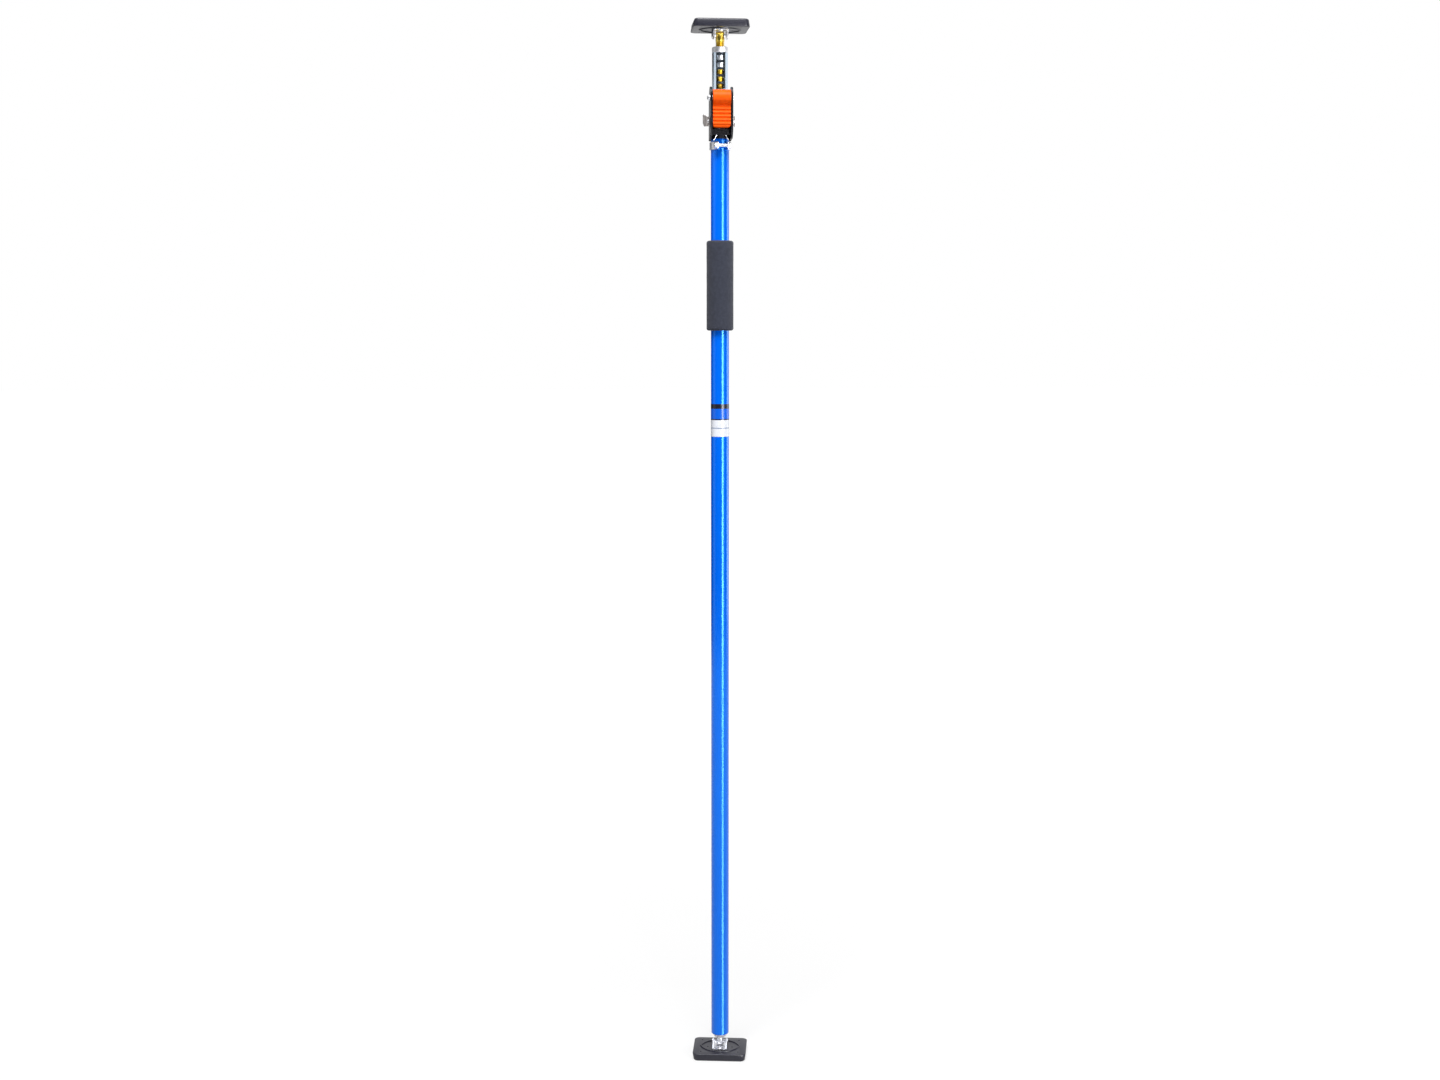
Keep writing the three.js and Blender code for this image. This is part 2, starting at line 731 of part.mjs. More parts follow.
// Wire spring: a hairpin whose legs spread down to the clamp.
function springShape() {
  const top = bridgeTopZ - wireTopDrop;
  const low = outerTopZ - wireLowDrop;
  const corners = [
    [-wireHalfLow, wireLowY, low], [-wireHalfTop, wireTopY, top],
    [wireHalfTop, wireTopY, top], [wireHalfLow, wireLowY, low],
  ].map(([x, y, z]) => new THREE.Vector3(x, y, z));
  const curve = new THREE.CatmullRomCurve3(corners, false, 'catmullrom', wireTension);
  const section = circleOutline(0, 0, wireRadius);
  return new THREE.ExtrudeGeometry(section, {
    steps: 3 * arcSteps, bevelEnabled: false, curveSegments: wireSides / 2, extrudePath: curve,
  });
}

function makeOuterPole(parent) {
  piece(parent, 'outer_tube', ring(outerRadius, outerBore, outerBottomZ, outerTopZ), bluePaint);
  piece(parent, 'bottom_plug', plugShape(), whitePlastic);
  piece(parent, 'foam_grip', gripShape(), gripFoam);
  piece(parent, 'guide_bush', bushShape(), blackPlastic);
  piece(parent, 'mechanism_housing', housingShape(), blackPaint);
  piece(parent, 'handle_pivot_pin', pivotPinShape(), zincPlate);
  makeWashers(parent, 'pivot', pivotPinRadius + seatGap, pivotY, pivotZ);
  makeWashers(parent, 'latch', latchShaftRadius + runGap, latchY, latchZ);
  parent.add(makeClamp());
}

// Inner tube: every window is cut through the flat front wall.
function innerTubeShape() {
  const outline = flattenedCircle(innerRadius, flatY);
  outline.holes.push(flattenedCircle(innerBore, flatY + innerWall));
  const body = new THREE.ExtrudeGeometry(outline, {
    depth: innerTopZ - innerBottomZ, bevelEnabled: false, curveSegments: tubeSides / 2,
  }).translate(0, 0, innerBottomZ);
  const windows = [];
  for (let index = 0; index < windowCount; index += 1) {
    const z = windowZ(index);
    windows.push(block(
      -windowWidth / 2, windowWidth / 2, flatY - overrun, flatY + 2 * innerWall,
      z - windowHeight / 2, z + windowHeight / 2));
  }
  return cut(body, ...windows);
}

function guideShape() {
  const top = innerBottomZ - seatGap;
  const flange = outerBore - runGap;
  return turned([
    [0, top - guideFlange], [flange - plugLead, top - guideFlange],
    [flange, top - guideFlange + plugLead], [flange, top], [guideSpigotRadius, top],
    [guideSpigotRadius, top + guideSpigot - plugLead],
    [guideSpigotRadius - plugLead, top + guideSpigot], [0, top + guideSpigot],
  ]);
}

function nutShape() {
  const bore = screwRadius + runGap;
  const bottom = innerTopZ + seatGap;
  const top = bottom + nutHeight;
  return turned([
    [bore, bottom - nutSleeve], [nutSleeveRadius, bottom - nutSleeve], [nutSleeveRadius, bottom],
    [innerRadius - nutChamfer, bottom], [innerRadius, bottom + nutChamfer],
    [innerRadius, top - nutChamfer], [innerRadius - nutChamfer, top], [bore, top],
  ]);
}

function makeInnerPole(parent) {
  piece(parent, 'inner_tube', innerTubeShape(), zincPlate);
  piece(parent, 'tube_guide', guideShape(), blackPlastic);
  piece(parent, 'adjusting_nut', nutShape(), zincPlate);
}

// Handle: an orange grip over a steel lever, both drawn from the pivot at their origin.
function gripOutline() {
  const shape = new THREE.Shape();
  const neck = Math.acos(bladeFront / knuckleRadius);
  const heel = Math.acos(bladeRear / knuckleRadius);
  const foot = -bladeLength;
  shape.absarc(0, 0, knuckleRadius, -heel, halfTurn + neck, false);
  for (let rib = ribCount - 1; rib >= 0; rib -= 1) {
    const middle = foot + lowestRibRise + rib * ribPitch;
    shape.lineTo(-bladeFront, middle + ribRadius);
    shape.quadraticCurveTo(-bladeFront - 2 * ribHeight, middle, -bladeFront, middle - ribRadius);
  }
  shape.lineTo(-bladeFront, foot + bladeFoot);
  shape.quadraticCurveTo(-bladeFront, foot, -bladeFront + bladeFoot, foot);
  shape.lineTo(bladeRear - bladeFoot, foot);
  shape.quadraticCurveTo(bladeRear, foot, bladeRear, foot + bladeFoot);
  return shape;
}

function handleFront() {
  const x = handleHalfWidth;
  const top = knuckleRadius + overrun;
  const shape = new THREE.Shape();
  shape.moveTo(-x, top);
  shape.lineTo(-x, bladeCorner - bladeLength);
  shape.absarc(
    bladeCorner - x, bladeCorner - bladeLength, bladeCorner, halfTurn, halfTurn + quarterTurn, false);
  shape.absarc(x - bladeCorner, bladeCorner - bladeLength, bladeCorner, -quarterTurn, 0, false);
  shape.lineTo(x, top);
  return shape;
}

function handleGripShape() {
  const solid = common(
    sideSlab(gripOutline(), handleHalfWidth),
    frontSlab(handleFront(), knuckleRadius + overrun, -knuckleRadius - overrun));
  const slot = leverHalfWidth + seatGap;
  const far = knuckleRadius + overrun;
  const hubPocket = alongX(disc(leverHub + seatGap, -slot, slot, pinSides));
  const rearPocket = block(-slot, slot, 0, far, -far, far);
  const tonguePocket = block(
    -slot, slot, -leverTongueFront - seatGap, far, leverTongueEnd - bladeLength - seatGap, 0);
  const pinHole = alongX(disc(
    pivotPinRadius + runGap, -handleHalfWidth - overrun, handleHalfWidth + overrun, pinSides));
  return cut(solid, hubPocket, rearPocket, tonguePocket, pinHole);
}

// A straight-sided link round two circles.
function linkOutline(y, z, radiusA, radiusB) {
  const length = Math.hypot(y, z);
  const heading = Math.atan2(z, y);
  const flank = Math.acos((radiusA - radiusB) / length);
  const shape = new THREE.Shape();
  shape.absarc(0, 0, radiusA, heading + flank, heading - flank + fullTurn, false);
  shape.absarc(y, z, radiusB, heading - flank, heading + flank, false);
  return shape;
}

function handleLeverShape() {
  const link = sideSlab(
    linkOutline(pawlPinOffsetY, pawlPinOffsetZ, leverHub, leverEar), leverHalfWidth);
  const tongue = block(
    -leverHalfWidth, leverHalfWidth, -leverTongueFront, leverTongueRear, leverTongueEnd - bladeLength, 0);
  const far = leverHalfWidth + overrun;
  const pivotHole = alongX(disc(pivotPinRadius + runGap, -far, far, pinSides));
  const slotHalf = pawlHalfWidth + runGap;
  const slot = alongX(disc(leverEar + 2 * runGap, -slotHalf, slotHalf, pinSides));
  const pinHole = alongX(disc(pawlPinRadius + seatGap, -far, far, holeSides));
  return cut(
    join(link, tongue), pivotHole,
    slot.translate(0, pawlPinOffsetY, pawlPinOffsetZ),
    pinHole.translate(0, pawlPinOffsetY, pawlPinOffsetZ));
}

// Drive pawl: a short hooked plate on its pin, its tip just clear of the tube's flat.
function drivePawlShape() {
  const shape = new THREE.Shape();
  shape.absarc(0, 0, pawlHub, quarterTurn, fullTurn - quarterTurn / 2, false);
  shape.lineTo(pawlReach, pawlRise - pawlTip);
  shape.lineTo(pawlReach, pawlRise);
  shape.lineTo(0, pawlRise);
  const body = sideSlab(shape, pawlHalfWidth);
  const far = pawlHalfWidth + overrun;
  return cut(body, alongX(disc(pawlPinRadius + runGap, -far, far, holeSides)));
}

function makeHandle() {
  const handle = new THREE.Group();
  piece(handle, 'handle_grip', handleGripShape(), orangePlastic);
  piece(handle, 'handle_lever', handleLeverShape(), zincPlate);
  const pin = alongX(disc(pawlPinRadius, -leverHalfWidth, leverHalfWidth, holeSides));
  piece(handle, 'drive_pawl_pin', pin.translate(0, pawlPinOffsetY, pawlPinOffsetZ), zincPlate);
  const pawl = drivePawlShape().translate(0, pawlPinOffsetY, pawlPinOffsetZ);
  piece(handle, 'drive_pawl', pawl, zincPlate);
  handle.position.set(0, pivotY, pivotZ);
  return handle;
}

// Release latch: a cross shaft that carries the holding pawl between the cheeks and a
// finger wing on each end. The pawl is drawn swung clear of the tube.
function holdingPawlShape() {
  const shape = new THREE.Shape();
  shape.absarc(0, 0, latchHub, halfTurn, fullTurn, false);
  shape.lineTo(toothRoot, toothBottom);
  shape.lineTo(toothReach, toothBottom);
  shape.lineTo(toothReach, toothTop - pawlTip);
  shape.lineTo(toothRoot, toothTop);
  shape.lineTo(0, toothTop - pawlTip);
  const far = latchHalfWidth + overrun;
  return cut(
    sideSlab(shape, latchHalfWidth),
    alongX(disc(latchShaftRadius + seatGap, -far, far, pinSides)));
}

function wingPlan() {
  const x = housingOutside + runGap;
  const shape = new THREE.Shape();
  const tip = wingSpan;
  const turn = wingHubLength / 2;
  shape.moveTo(x, -wingHubLength / 2);
  shape.lineTo(x + wingSheet, -wingHubLength / 2);
  shape.lineTo(x + wingSheet, turn - wingSheet);
  shape.quadraticCurveTo(x + wingSheet, turn + wingBend - wingSheet, tip, turn + wingBend - wingSheet);
  shape.lineTo(tip, turn + wingBend);
  shape.quadraticCurveTo(x, turn + wingBend, x, turn);
  return shape;
}

function wingFront() {
  const x = housingOutside;
  const shape = new THREE.Shape();
  shape.moveTo(x, -wingBelow);
  shape.lineTo(wingSpan - wingSheet, -wingBelow);
  shape.quadraticCurveTo(wingSpan + wingSheet, wingHubRise / 2, wingSpan + wingSheet, wingAbove);
  shape.lineTo(wingSpan - wingHorn, wingAbove - wingHorn / 2);
  shape.lineTo(x, wingHubRise);
  return shape;
}

function wingShape(sign) {
  const shell = common(
    flatSlab(wingPlan(), -wingBelow - overrun, wingAbove + overrun),
    frontSlab(wingFront(), wingHubLength + wingBend, -wingHubLength));
  const far = wingSpan + overrun;
  const drilled = cut(shell, alongX(disc(latchShaftRadius + seatGap, 0, far, pinSides)));
  return sign > 0 ? drilled : geometryOf(solidOf(drilled).mirror([1, 0, 0]));
}

function makeLatch() {
  const latch = new THREE.Group();
  const end = housingOutside + runGap + wingSheet + shaftTail;
  piece(latch, 'latch_shaft', alongX(disc(latchShaftRadius, -end, end, pinSides)), zincPlate);
  piece(latch, 'wing_left', wingShape(-1), zincPlate);
  piece(latch, 'wing_right', wingShape(1), zincPlate);
  const pawl = piece(latch, 'holding_pawl', holdingPawlShape(), zincPlate);
  pawl.rotation.x = latchSwing;
  latch.position.set(0, latchY, latchZ);
  return latch;
}

makeOuterPole(rod);
makeInnerPole(rod);
piece(rod, 'latch_spring', springShape(), zincPlate);
rod.add(makeFoot());
rod.add(makeHead());
rod.add(makeHandle());
rod.add(makeLatch());

export default rod;
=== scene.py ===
from math import acos, asin, atan2, cos, pi, radians, sin, sqrt, tan

import bmesh
import bpy
from mathutils import Matrix, Vector


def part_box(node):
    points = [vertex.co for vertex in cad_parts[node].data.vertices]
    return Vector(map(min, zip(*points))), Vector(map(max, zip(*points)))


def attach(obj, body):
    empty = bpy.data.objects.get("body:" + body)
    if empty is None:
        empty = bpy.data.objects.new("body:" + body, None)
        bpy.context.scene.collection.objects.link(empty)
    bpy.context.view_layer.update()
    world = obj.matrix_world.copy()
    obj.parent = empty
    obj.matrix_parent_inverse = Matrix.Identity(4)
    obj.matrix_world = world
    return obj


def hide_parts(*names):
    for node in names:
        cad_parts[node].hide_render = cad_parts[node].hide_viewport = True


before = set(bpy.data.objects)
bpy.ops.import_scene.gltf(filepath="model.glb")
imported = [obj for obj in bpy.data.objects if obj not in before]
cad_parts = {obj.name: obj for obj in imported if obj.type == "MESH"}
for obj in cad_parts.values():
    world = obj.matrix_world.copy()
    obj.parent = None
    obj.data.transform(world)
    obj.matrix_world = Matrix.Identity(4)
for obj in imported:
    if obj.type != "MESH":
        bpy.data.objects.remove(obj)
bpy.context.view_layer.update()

MM = 0.001

# Facets, the angles over which an edge is sharp or eased, and the gaps that count as none
TUBE_SIDES = 96
PIN_SIDES = 48
SMALL_SIDES = 32
SHARP_ANGLE = radians(35)
BEVEL_ANGLE = radians(40)
SEAM = 1e-7
WIDE_SEAM = 1e-6

# The photograph's size, the rows where the rod starts and ends, and the scene's camera
PHOTO_WIDTH = 1440
PHOTO_HEIGHT = 1080
TOP_ROW = 17.5
FLOOR_ROW = 1062
CAMERA_HEIGHT = 1.03
CAMERA_DISTANCE = 2.35
CAMERA_YAW = radians(5.5)
CAMERA_SHIFT = -0.011


def middle_and_half(node):
    """The middle of a CAD node's box, and its half-sizes."""
    low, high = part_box(node)
    return (low + high) / 2, (high - low) / 2


# Places and sizes read from the frame, with the walls and the clearance that its boxes don't show
FIT = 0.3 * MM
TUBE_LOW, TUBE_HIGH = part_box("outer_tube")
TUBE_RADIUS = (TUBE_HIGH.x - TUBE_LOW.x) / 2
TUBE_WALL = 1.2 * MM
INNER_LOW, INNER_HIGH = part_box("inner_tube")
INNER_RADIUS = (INNER_HIGH.x - INNER_LOW.x) / 2
INNER_WALL = 1.0 * MM
FLAT_Y = INNER_LOW.y
GRIP_LOW, GRIP_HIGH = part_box("foam_grip")
PLUG_LOW, PLUG_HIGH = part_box("bottom_plug")
PAD_LOW, PAD_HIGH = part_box("top_pad")
HEAD_TOP = PAD_HIGH.z
CHEEK_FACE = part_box("mechanism_housing")[1].x

# Axes: an outline's first and second axis, and the way it is extruded
FLAT = Matrix.Identity(4)
SIDE = Matrix(((0, 0, 1, 0), (1, 0, 0, 0), (0, 1, 0, 0), (0, 0, 0, 1)))
FRONT = Matrix(((1, 0, 0, 0), (0, 0, -1, 0), (0, 1, 0, 0), (0, 0, 0, 1)))
ALONG_X = Matrix(((0, 0, 1, 0), (0, 1, 0, 0), (-1, 0, 0, 0), (0, 0, 0, 1)))


# Mesh helpers, in which a shape is a pair of vertices and faces
def link(name, data):
    piece = bpy.data.objects.new(name, data)
    bpy.context.scene.collection.objects.link(piece)
    return piece


def cleaned(mesh, seam):
    """Merges doubled points and turns every face outward."""
    bm = bmesh.new()
    bm.from_mesh(mesh)
    bmesh.ops.remove_doubles(bm, verts=bm.verts, dist=seam)
    bmesh.ops.recalc_face_normals(bm, faces=bm.faces)
    bm.to_mesh(mesh)
    bm.free()
    return mesh


def mesh_of(name, shape):
    verts, faces = shape
    mesh = bpy.data.meshes.new(name)
    mesh.from_pydata([tuple(v) for v in verts], [], faces)
    return mesh


def shape_of(mesh):
    return [tuple(v.co) for v in mesh.vertices], [tuple(face.vertices) for face in mesh.polygons]


def applied(piece):
    """The mesh of an object with its modifiers or its curve's thickness."""
    return bpy.data.meshes.new_from_object(piece.evaluated_get(bpy.context.evaluated_depsgraph_get()))


def build(name, shape, body, finish, stands_for=(), angle=SHARP_ANGLE):
    """One finished piece: closed, facing out, riding on its body, in the material of its (slot, material)
    finish.
    """
    mesh = cleaned(mesh_of(name, shape), SEAM)
    mesh.polygons.foreach_set("use_smooth", [True] * len(mesh.polygons))
    mesh.set_sharp_from_angle(angle=angle)
    slot, material = finish
    mesh.materials.append(material)
    piece = link(name, mesh)
    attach(piece, body)
    if stands_for:
        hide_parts(*stands_for)
    return piece


def eased(piece, width, segments=2):
    bevel = piece.modifiers.new("eased edges", "BEVEL")
    bevel.width = width
    bevel.segments = segments
    bevel.limit_method = "ANGLE"
    bevel.angle_limit = BEVEL_ANGLE


def moved(place, shape):
    verts, faces = shape
    return [place @ Vector(v) for v in verts], faces


def merge(*shapes):
    verts, faces = [], []
    for shape_verts, shape_faces in shapes:
        start = len(verts)
        verts += shape_verts
        faces += [tuple(start + i for i in face) for face in shape_faces]
    return verts, faces


def quarter(steps):
    """Angles from 0 to a right angle."""
    return [pi / 2 * i / steps for i in range(steps + 1)]


def arc(centre_a, centre_b, radius, start, end, steps):
    angles = [start + (end - start) * i / steps for i in range(steps + 1)]
    return [(centre_a + radius * cos(angle), centre_b + radius * sin(angle)) for angle in angles]


def corner_arcs(low, high, radius, steps):
    """The rounded corners of a rectangle, anticlockwise from the right side's lower one."""
    left, right = low[0] + radius, high[0] - radius
    bottom, top = low[1] + radius, high[1] - radius
    centres = ((right, bottom), (right, top), (left, top), (left, bottom))
    return [arc(a, b, radius, (i - 1) * pi / 2, i * pi / 2, steps) for i, (a, b) in enumerate(centres)]


def rounded_rectangle(low, high, radius, steps):
    return [point for corner in corner_arcs(low, high, radius, steps) for point in corner]


def dome(radius, base, height, steps=5):
    """Profile of a domed head from its rim to the axis."""
    return [(radius * cos(a), base + height * sin(a)) for a in quarter(steps)[:-1]] + [(0, base + height)]


def flipped(profile):
    return [(radius, -height) for radius, height in reversed(profile)]


def symmetric(half):
    """A profile from its upper half."""
    return flipped(half) + half


def revolve(profile_at, sides, closed=True):
    """Skins the (radius, height) points that a function gives for each angle round the axis.

    A closed profile is a ring, and an open one ends on the axis."""
    verts, faces = [], []
    for step in range(sides):
        angle = 2 * pi * step / sides
        profile = profile_at(angle)
        verts += [(radius * cos(angle), radius * sin(angle), height) for radius, height in profile]
    count = len(profile)
    for step in range(sides):
        here, there = step * count, ((step + 1) % sides) * count
        for i in range(count if closed else count - 1):
            j = (i + 1) % count
            faces.append((here + i, there + i, there + j, here + j))
    return verts, faces


def turned(profile, sides=SMALL_SIDES):
    """A turned part: solid where its profile touches the axis, or else a ring."""
    return revolve(lambda angle: profile, sides, closed=all(radius > 0 for radius, _ in profile))


def drill(radius, low, high, sides=SMALL_SIDES):
    return turned([(0, low), (radius, low), (radius, high), (0, high)], sides)


def ring(radii):
    """Points round the axis, one for each radius."""
    turn = 2 * pi / len(radii)
    return [(radius * cos(turn * i), radius * sin(turn * i)) for i, radius in enumerate(radii)]


def numbered_rows(rows, count):
    return [range(row * count, (row + 1) * count) for row in range(rows)]


def bridge(here, there):
    """Faces between two closed rows of vertex numbers."""
    count = len(here)
    return [(here[i], here[(i + 1) % count], there[(i + 1) % count], there[i]) for i in range(count)]


def stacked(levels):
    """Skins closed outlines of equal length, each given as (height, points), and caps the ends."""
    rows = numbered_rows(len(levels), len(levels[0][1]))
    verts = [(x, y, height) for height, points in levels for x, y in points]
    faces = [face for lower, upper in zip(rows, rows[1:]) for face in bridge(lower, upper)]
    return verts, faces + [tuple(rows[0]), tuple(rows[-1])]


def slab(outline, low, high, basis):
    """Extrudes a closed outline between two levels along the basis' third axis."""
    near, far = numbered_rows(2, len(outline))
    verts = [basis @ Vector((a, b, level)) for level in (low, high) for a, b in outline]
    return verts, [tuple(near), tuple(far)] + bridge(near, far)


def block(low, high):
    corners = [(low[0], low[1]), (high[0], low[1]), (high[0], high[1]), (low[0], high[1])]
    return slab(corners, low[2], high[2], FLAT)


def swept(points, radius):
    """A round wire along a smooth line through the points."""
    curve = bpy.data.curves.new("wire", "CURVE")
    curve.dimensions = "3D"
    curve.bevel_depth = radius
    curve.bevel_resolution = 4
    curve.use_fill_caps = True
    curve.resolution_u = 12
    spline = curve.splines.new("NURBS")
    spline.points.add(len(points) - 1)
    for point, place in zip(spline.points, points):
        point.co = (*place, 1)
    spline.order_u = 4
    spline.use_endpoint_u = True
    holder = link("wire", curve)
    mesh = applied(holder)
    bpy.data.objects.remove(holder)
    return shape_of(cleaned(mesh, WIDE_SEAM))


def carved(start, *steps):
    """Cuts, joins or intersects a shape with others: each step is (operation, shape)."""
    base = link("solid", cleaned(mesh_of("solid", start), SEAM))
    tools = []
    for operation, shape in steps:
        tool = link("solid", cleaned(mesh_of("solid", shape), SEAM))
        tools.append(tool)
        modifier = base.modifiers.new(operation, "BOOLEAN")
        modifier.operation = operation
        modifier.solver = "EXACT"
        modifier.object = tool
    bpy.context.view_layer.update()
    shape = shape_of(applied(base))
    for holder in [base, *tools]:
        bpy.data.objects.remove(holder)
    return shape


# Material helpers
def node_tree(name):
    material = bpy.data.materials.new(name)
    material.use_nodes = True
    nodes = material.node_tree.nodes
    return material, nodes, material.node_tree.links, nodes["Principled BSDF"]


def set_inputs(node, **values):
    """Sets sockets, whose names have an underscore for each space."""
    for name, value in values.items():
        node.inputs[name.replace("_", " ")].default_value = value


def coordinates(nodes, links, scale):
    """Object coordinates in metres, stretched by a scale along each axis."""
    source = nodes.new("ShaderNodeTexCoord")
    mapping = nodes.new("ShaderNodeMapping")
    set_inputs(mapping, Scale=scale)
    links.new(source.outputs["Object"], mapping.inputs["Vector"])
    return mapping.outputs["Vector"]


def noise(nodes, links, scale, detail):
    texture = nodes.new("ShaderNodeTexNoise")
    set_inputs(texture, Scale=1, Detail=detail, Roughness=0.55)
    links.new(coordinates(nodes, links, scale), texture.inputs["Vector"])
    return texture.outputs["Fac"]


def ramp(nodes, links, value, stops, interpolation="LINEAR"):
    """A colour ramp with (position, colour) stops."""
    node = nodes.new("ShaderNodeValToRGB")
    node.color_ramp.interpolation = interpolation
    elements = node.color_ramp.elements
    while len(elements) < len(stops):
        elements.new(0.5)
    for element, (position, color) in zip(elements, stops):
        element.position = position
        element.color = (*color, 1)
    links.new(value, node.inputs["Fac"])
    return node.outputs["Color"]


def spread(nodes, links, value, low, high):
    """Maps the middle range of a noise to a low and a high value."""
    node = nodes.new("ShaderNodeMapRange")
    set_inputs(node, From_Min=0.3, From_Max=0.7, To_Min=low, To_Max=high)
    links.new(value, node.inputs["Value"])
    return node.outputs["Result"]


def bump(nodes, links, shader, layers):
    """Stacks (height, strength, distance) layers of relief."""
    normal = None
    for height, strength, distance in layers:
        node = nodes.new("ShaderNodeBump")
        set_inputs(node, Strength=strength, Distance=distance)
        links.new(height, node.inputs["Height"])
        if normal is not None:
            links.new(normal, node.inputs["Normal"])
        normal = node.outputs["Normal"]
    links.new(normal, shader.inputs["Normal"])


def even(scale):
    return (scale, scale, scale)


# Materials, with noise scales in cycles per metre, and how deep their relief is
PEEL_DEPTH = 0.2 * MM
SCRATCH_DEPTH = 0.1 * MM
GRAIN_DEPTH = 0.2 * MM
MOTTLE_DEPTH = 0.4 * MM
FOAM_DEPTH = 0.5 * MM
CELL_DEPTH = 0.4 * MM


def paint(name, dark, light, roughness, specular, tint, peel):
    """Powder coat: slight tone drift, fine orange peel and rubbed spots."""
    material, nodes, links, shader = node_tree(name)
    drift = noise(nodes, links, scale=(30, 30, 6), detail=4)
    links.new(ramp(nodes, links, drift, [(0.3, dark), (0.7, light)]), shader.inputs["Base Color"])
    rub = noise(nodes, links, scale=(260, 260, 40), detail=6)
    links.new(spread(nodes, links, rub, roughness - 0.03, roughness + 0.05), shader.inputs["Roughness"])
    set_inputs(shader, Specular_IOR_Level=specular, Specular_Tint=(*tint, 1))
    fine = noise(nodes, links, scale=even(1400), detail=2)
    bump(nodes, links, shader, [(fine, peel, PEEL_DEPTH)])
    return material


def plated(name, dark, light, roughness, stretch, relief):
    """Plated or drawn metal: tone drift and fine lines along the stretch."""
    material, nodes, links, shader = node_tree(name)
    drift = noise(nodes, links, scale=stretch, detail=5)
    links.new(ramp(nodes, links, drift, [(0.3, dark), (0.72, light)]), shader.inputs["Base Color"])
    rub = noise(nodes, links, scale=even(380), detail=5)
    links.new(spread(nodes, links, rub, roughness - 0.03, roughness + 0.05), shader.inputs["Roughness"])
    set_inputs(shader, Metallic=1)
    bump(nodes, links, shader, [(rub, relief, SCRATCH_DEPTH)])
    return material


def moulded(name, dark, light, roughness, grain, relief, specular=0.5):
    """Moulded plastic or rubber: mottled tone with a fine sparked grain."""
    material, nodes, links, shader = node_tree(name)
    mottle = noise(nodes, links, scale=even(grain / 6), detail=5)
    links.new(ramp(nodes, links, mottle, [(0.32, dark), (0.7, light)]), shader.inputs["Base Color"])
    fine = noise(nodes, links, scale=even(grain), detail=3)
    links.new(spread(nodes, links, fine, roughness - 0.02, roughness + 0.03), shader.inputs["Roughness"])
    set_inputs(shader, Specular_IOR_Level=specular)
    bump(nodes, links, shader, [(mottle, relief / 2, MOTTLE_DEPTH), (fine, relief, GRAIN_DEPTH)])
    return material


def foam(name, dark, light):
    """Closed-cell foam: tiny pits and a soft bloom."""
    material, nodes, links, shader = node_tree(name)
    mottle = noise(nodes, links, scale=even(220), detail=6)
    links.new(ramp(nodes, links, mottle, [(0.3, dark), (0.7, light)]), shader.inputs["Base Color"])
    cells = nodes.new("ShaderNodeTexVoronoi")
    set_inputs(cells, Scale=1)
    links.new(coordinates(nodes, links, even(1500)), cells.inputs["Vector"])
    set_inputs(shader, Roughness=0.85, Sheen_Weight=0.12, Sheen_Roughness=0.5)
    bump(nodes, links, shader, [(mottle, 0.25, FOAM_DEPTH), (cells.outputs["Distance"], 0.5, CELL_DEPTH)])
    return material


# Finishes: a slot of the record with its material
BLUE = ("blue_paint", paint(
    "blue powder coat", dark=(0.0, 0.13, 0.86), light=(0.0, 0.148, 0.92), roughness=0.15, specular=1.0,
    tint=(0.18, 0.66, 1.0), peel=0.01))
ZINC = ("zinc_plate", plated(
    "zinc plate", dark=(0.68, 0.69, 0.73), light=(0.8, 0.81, 0.84), roughness=0.36, stretch=even(160),
    relief=0.04))
ZINC_TUBE = ("zinc_tube", plated(
    "drawn zinc", dark=(0.58, 0.7, 0.82), light=(0.7, 0.82, 0.94), roughness=0.16, stretch=(900, 900, 12),
    relief=0.03))
YELLOW_ZINC = ("yellow_zinc", plated(
    "yellow zinc", dark=(0.62, 0.43, 0.05), light=(0.9, 0.69, 0.16), roughness=0.33, stretch=even(120),
    relief=0.08))
RUBBER = ("pad_rubber", moulded(
    "pad rubber", dark=(0.009, 0.009, 0.018), light=(0.015, 0.015, 0.027), roughness=0.36, grain=1100,
    relief=0.03))
ORANGE = ("orange_plastic", moulded(
    "orange plastic", dark=(0.9, 0.085, 0.0), light=(1.0, 0.11, 0.0), roughness=0.42, grain=1300, relief=0.1,
    specular=0.12))
WHITE = ("white_plastic", moulded(
    "white plastic", dark=(0.78, 0.74, 0.77), light=(0.88, 0.85, 0.87), roughness=0.4, grain=900,
    relief=0.08))
FOAM = ("grip_foam", foam("grip foam", dark=(0.012, 0.015, 0.028), light=(0.023, 0.027, 0.046)))

# Materials of CAD nodes that keep their own shape
BLACK_PAINT = paint(
    "black paint", dark=(0.004, 0.004, 0.007), light=(0.01, 0.01, 0.015), roughness=0.34, specular=0.25,
    tint=(1, 1, 1), peel=0.05)
PRESSED_STEEL = plated(
    "pressed steel", dark=(0.4, 0.36, 0.355), light=(0.68, 0.64, 0.62), roughness=0.4, stretch=even(110),
    relief=0.08)
BLACK_PLASTIC = moulded(
    "black plastic", dark=(0.008, 0.008, 0.01), light=(0.016, 0.016, 0.018), roughness=0.45, grain=1300,
    relief=0.15)


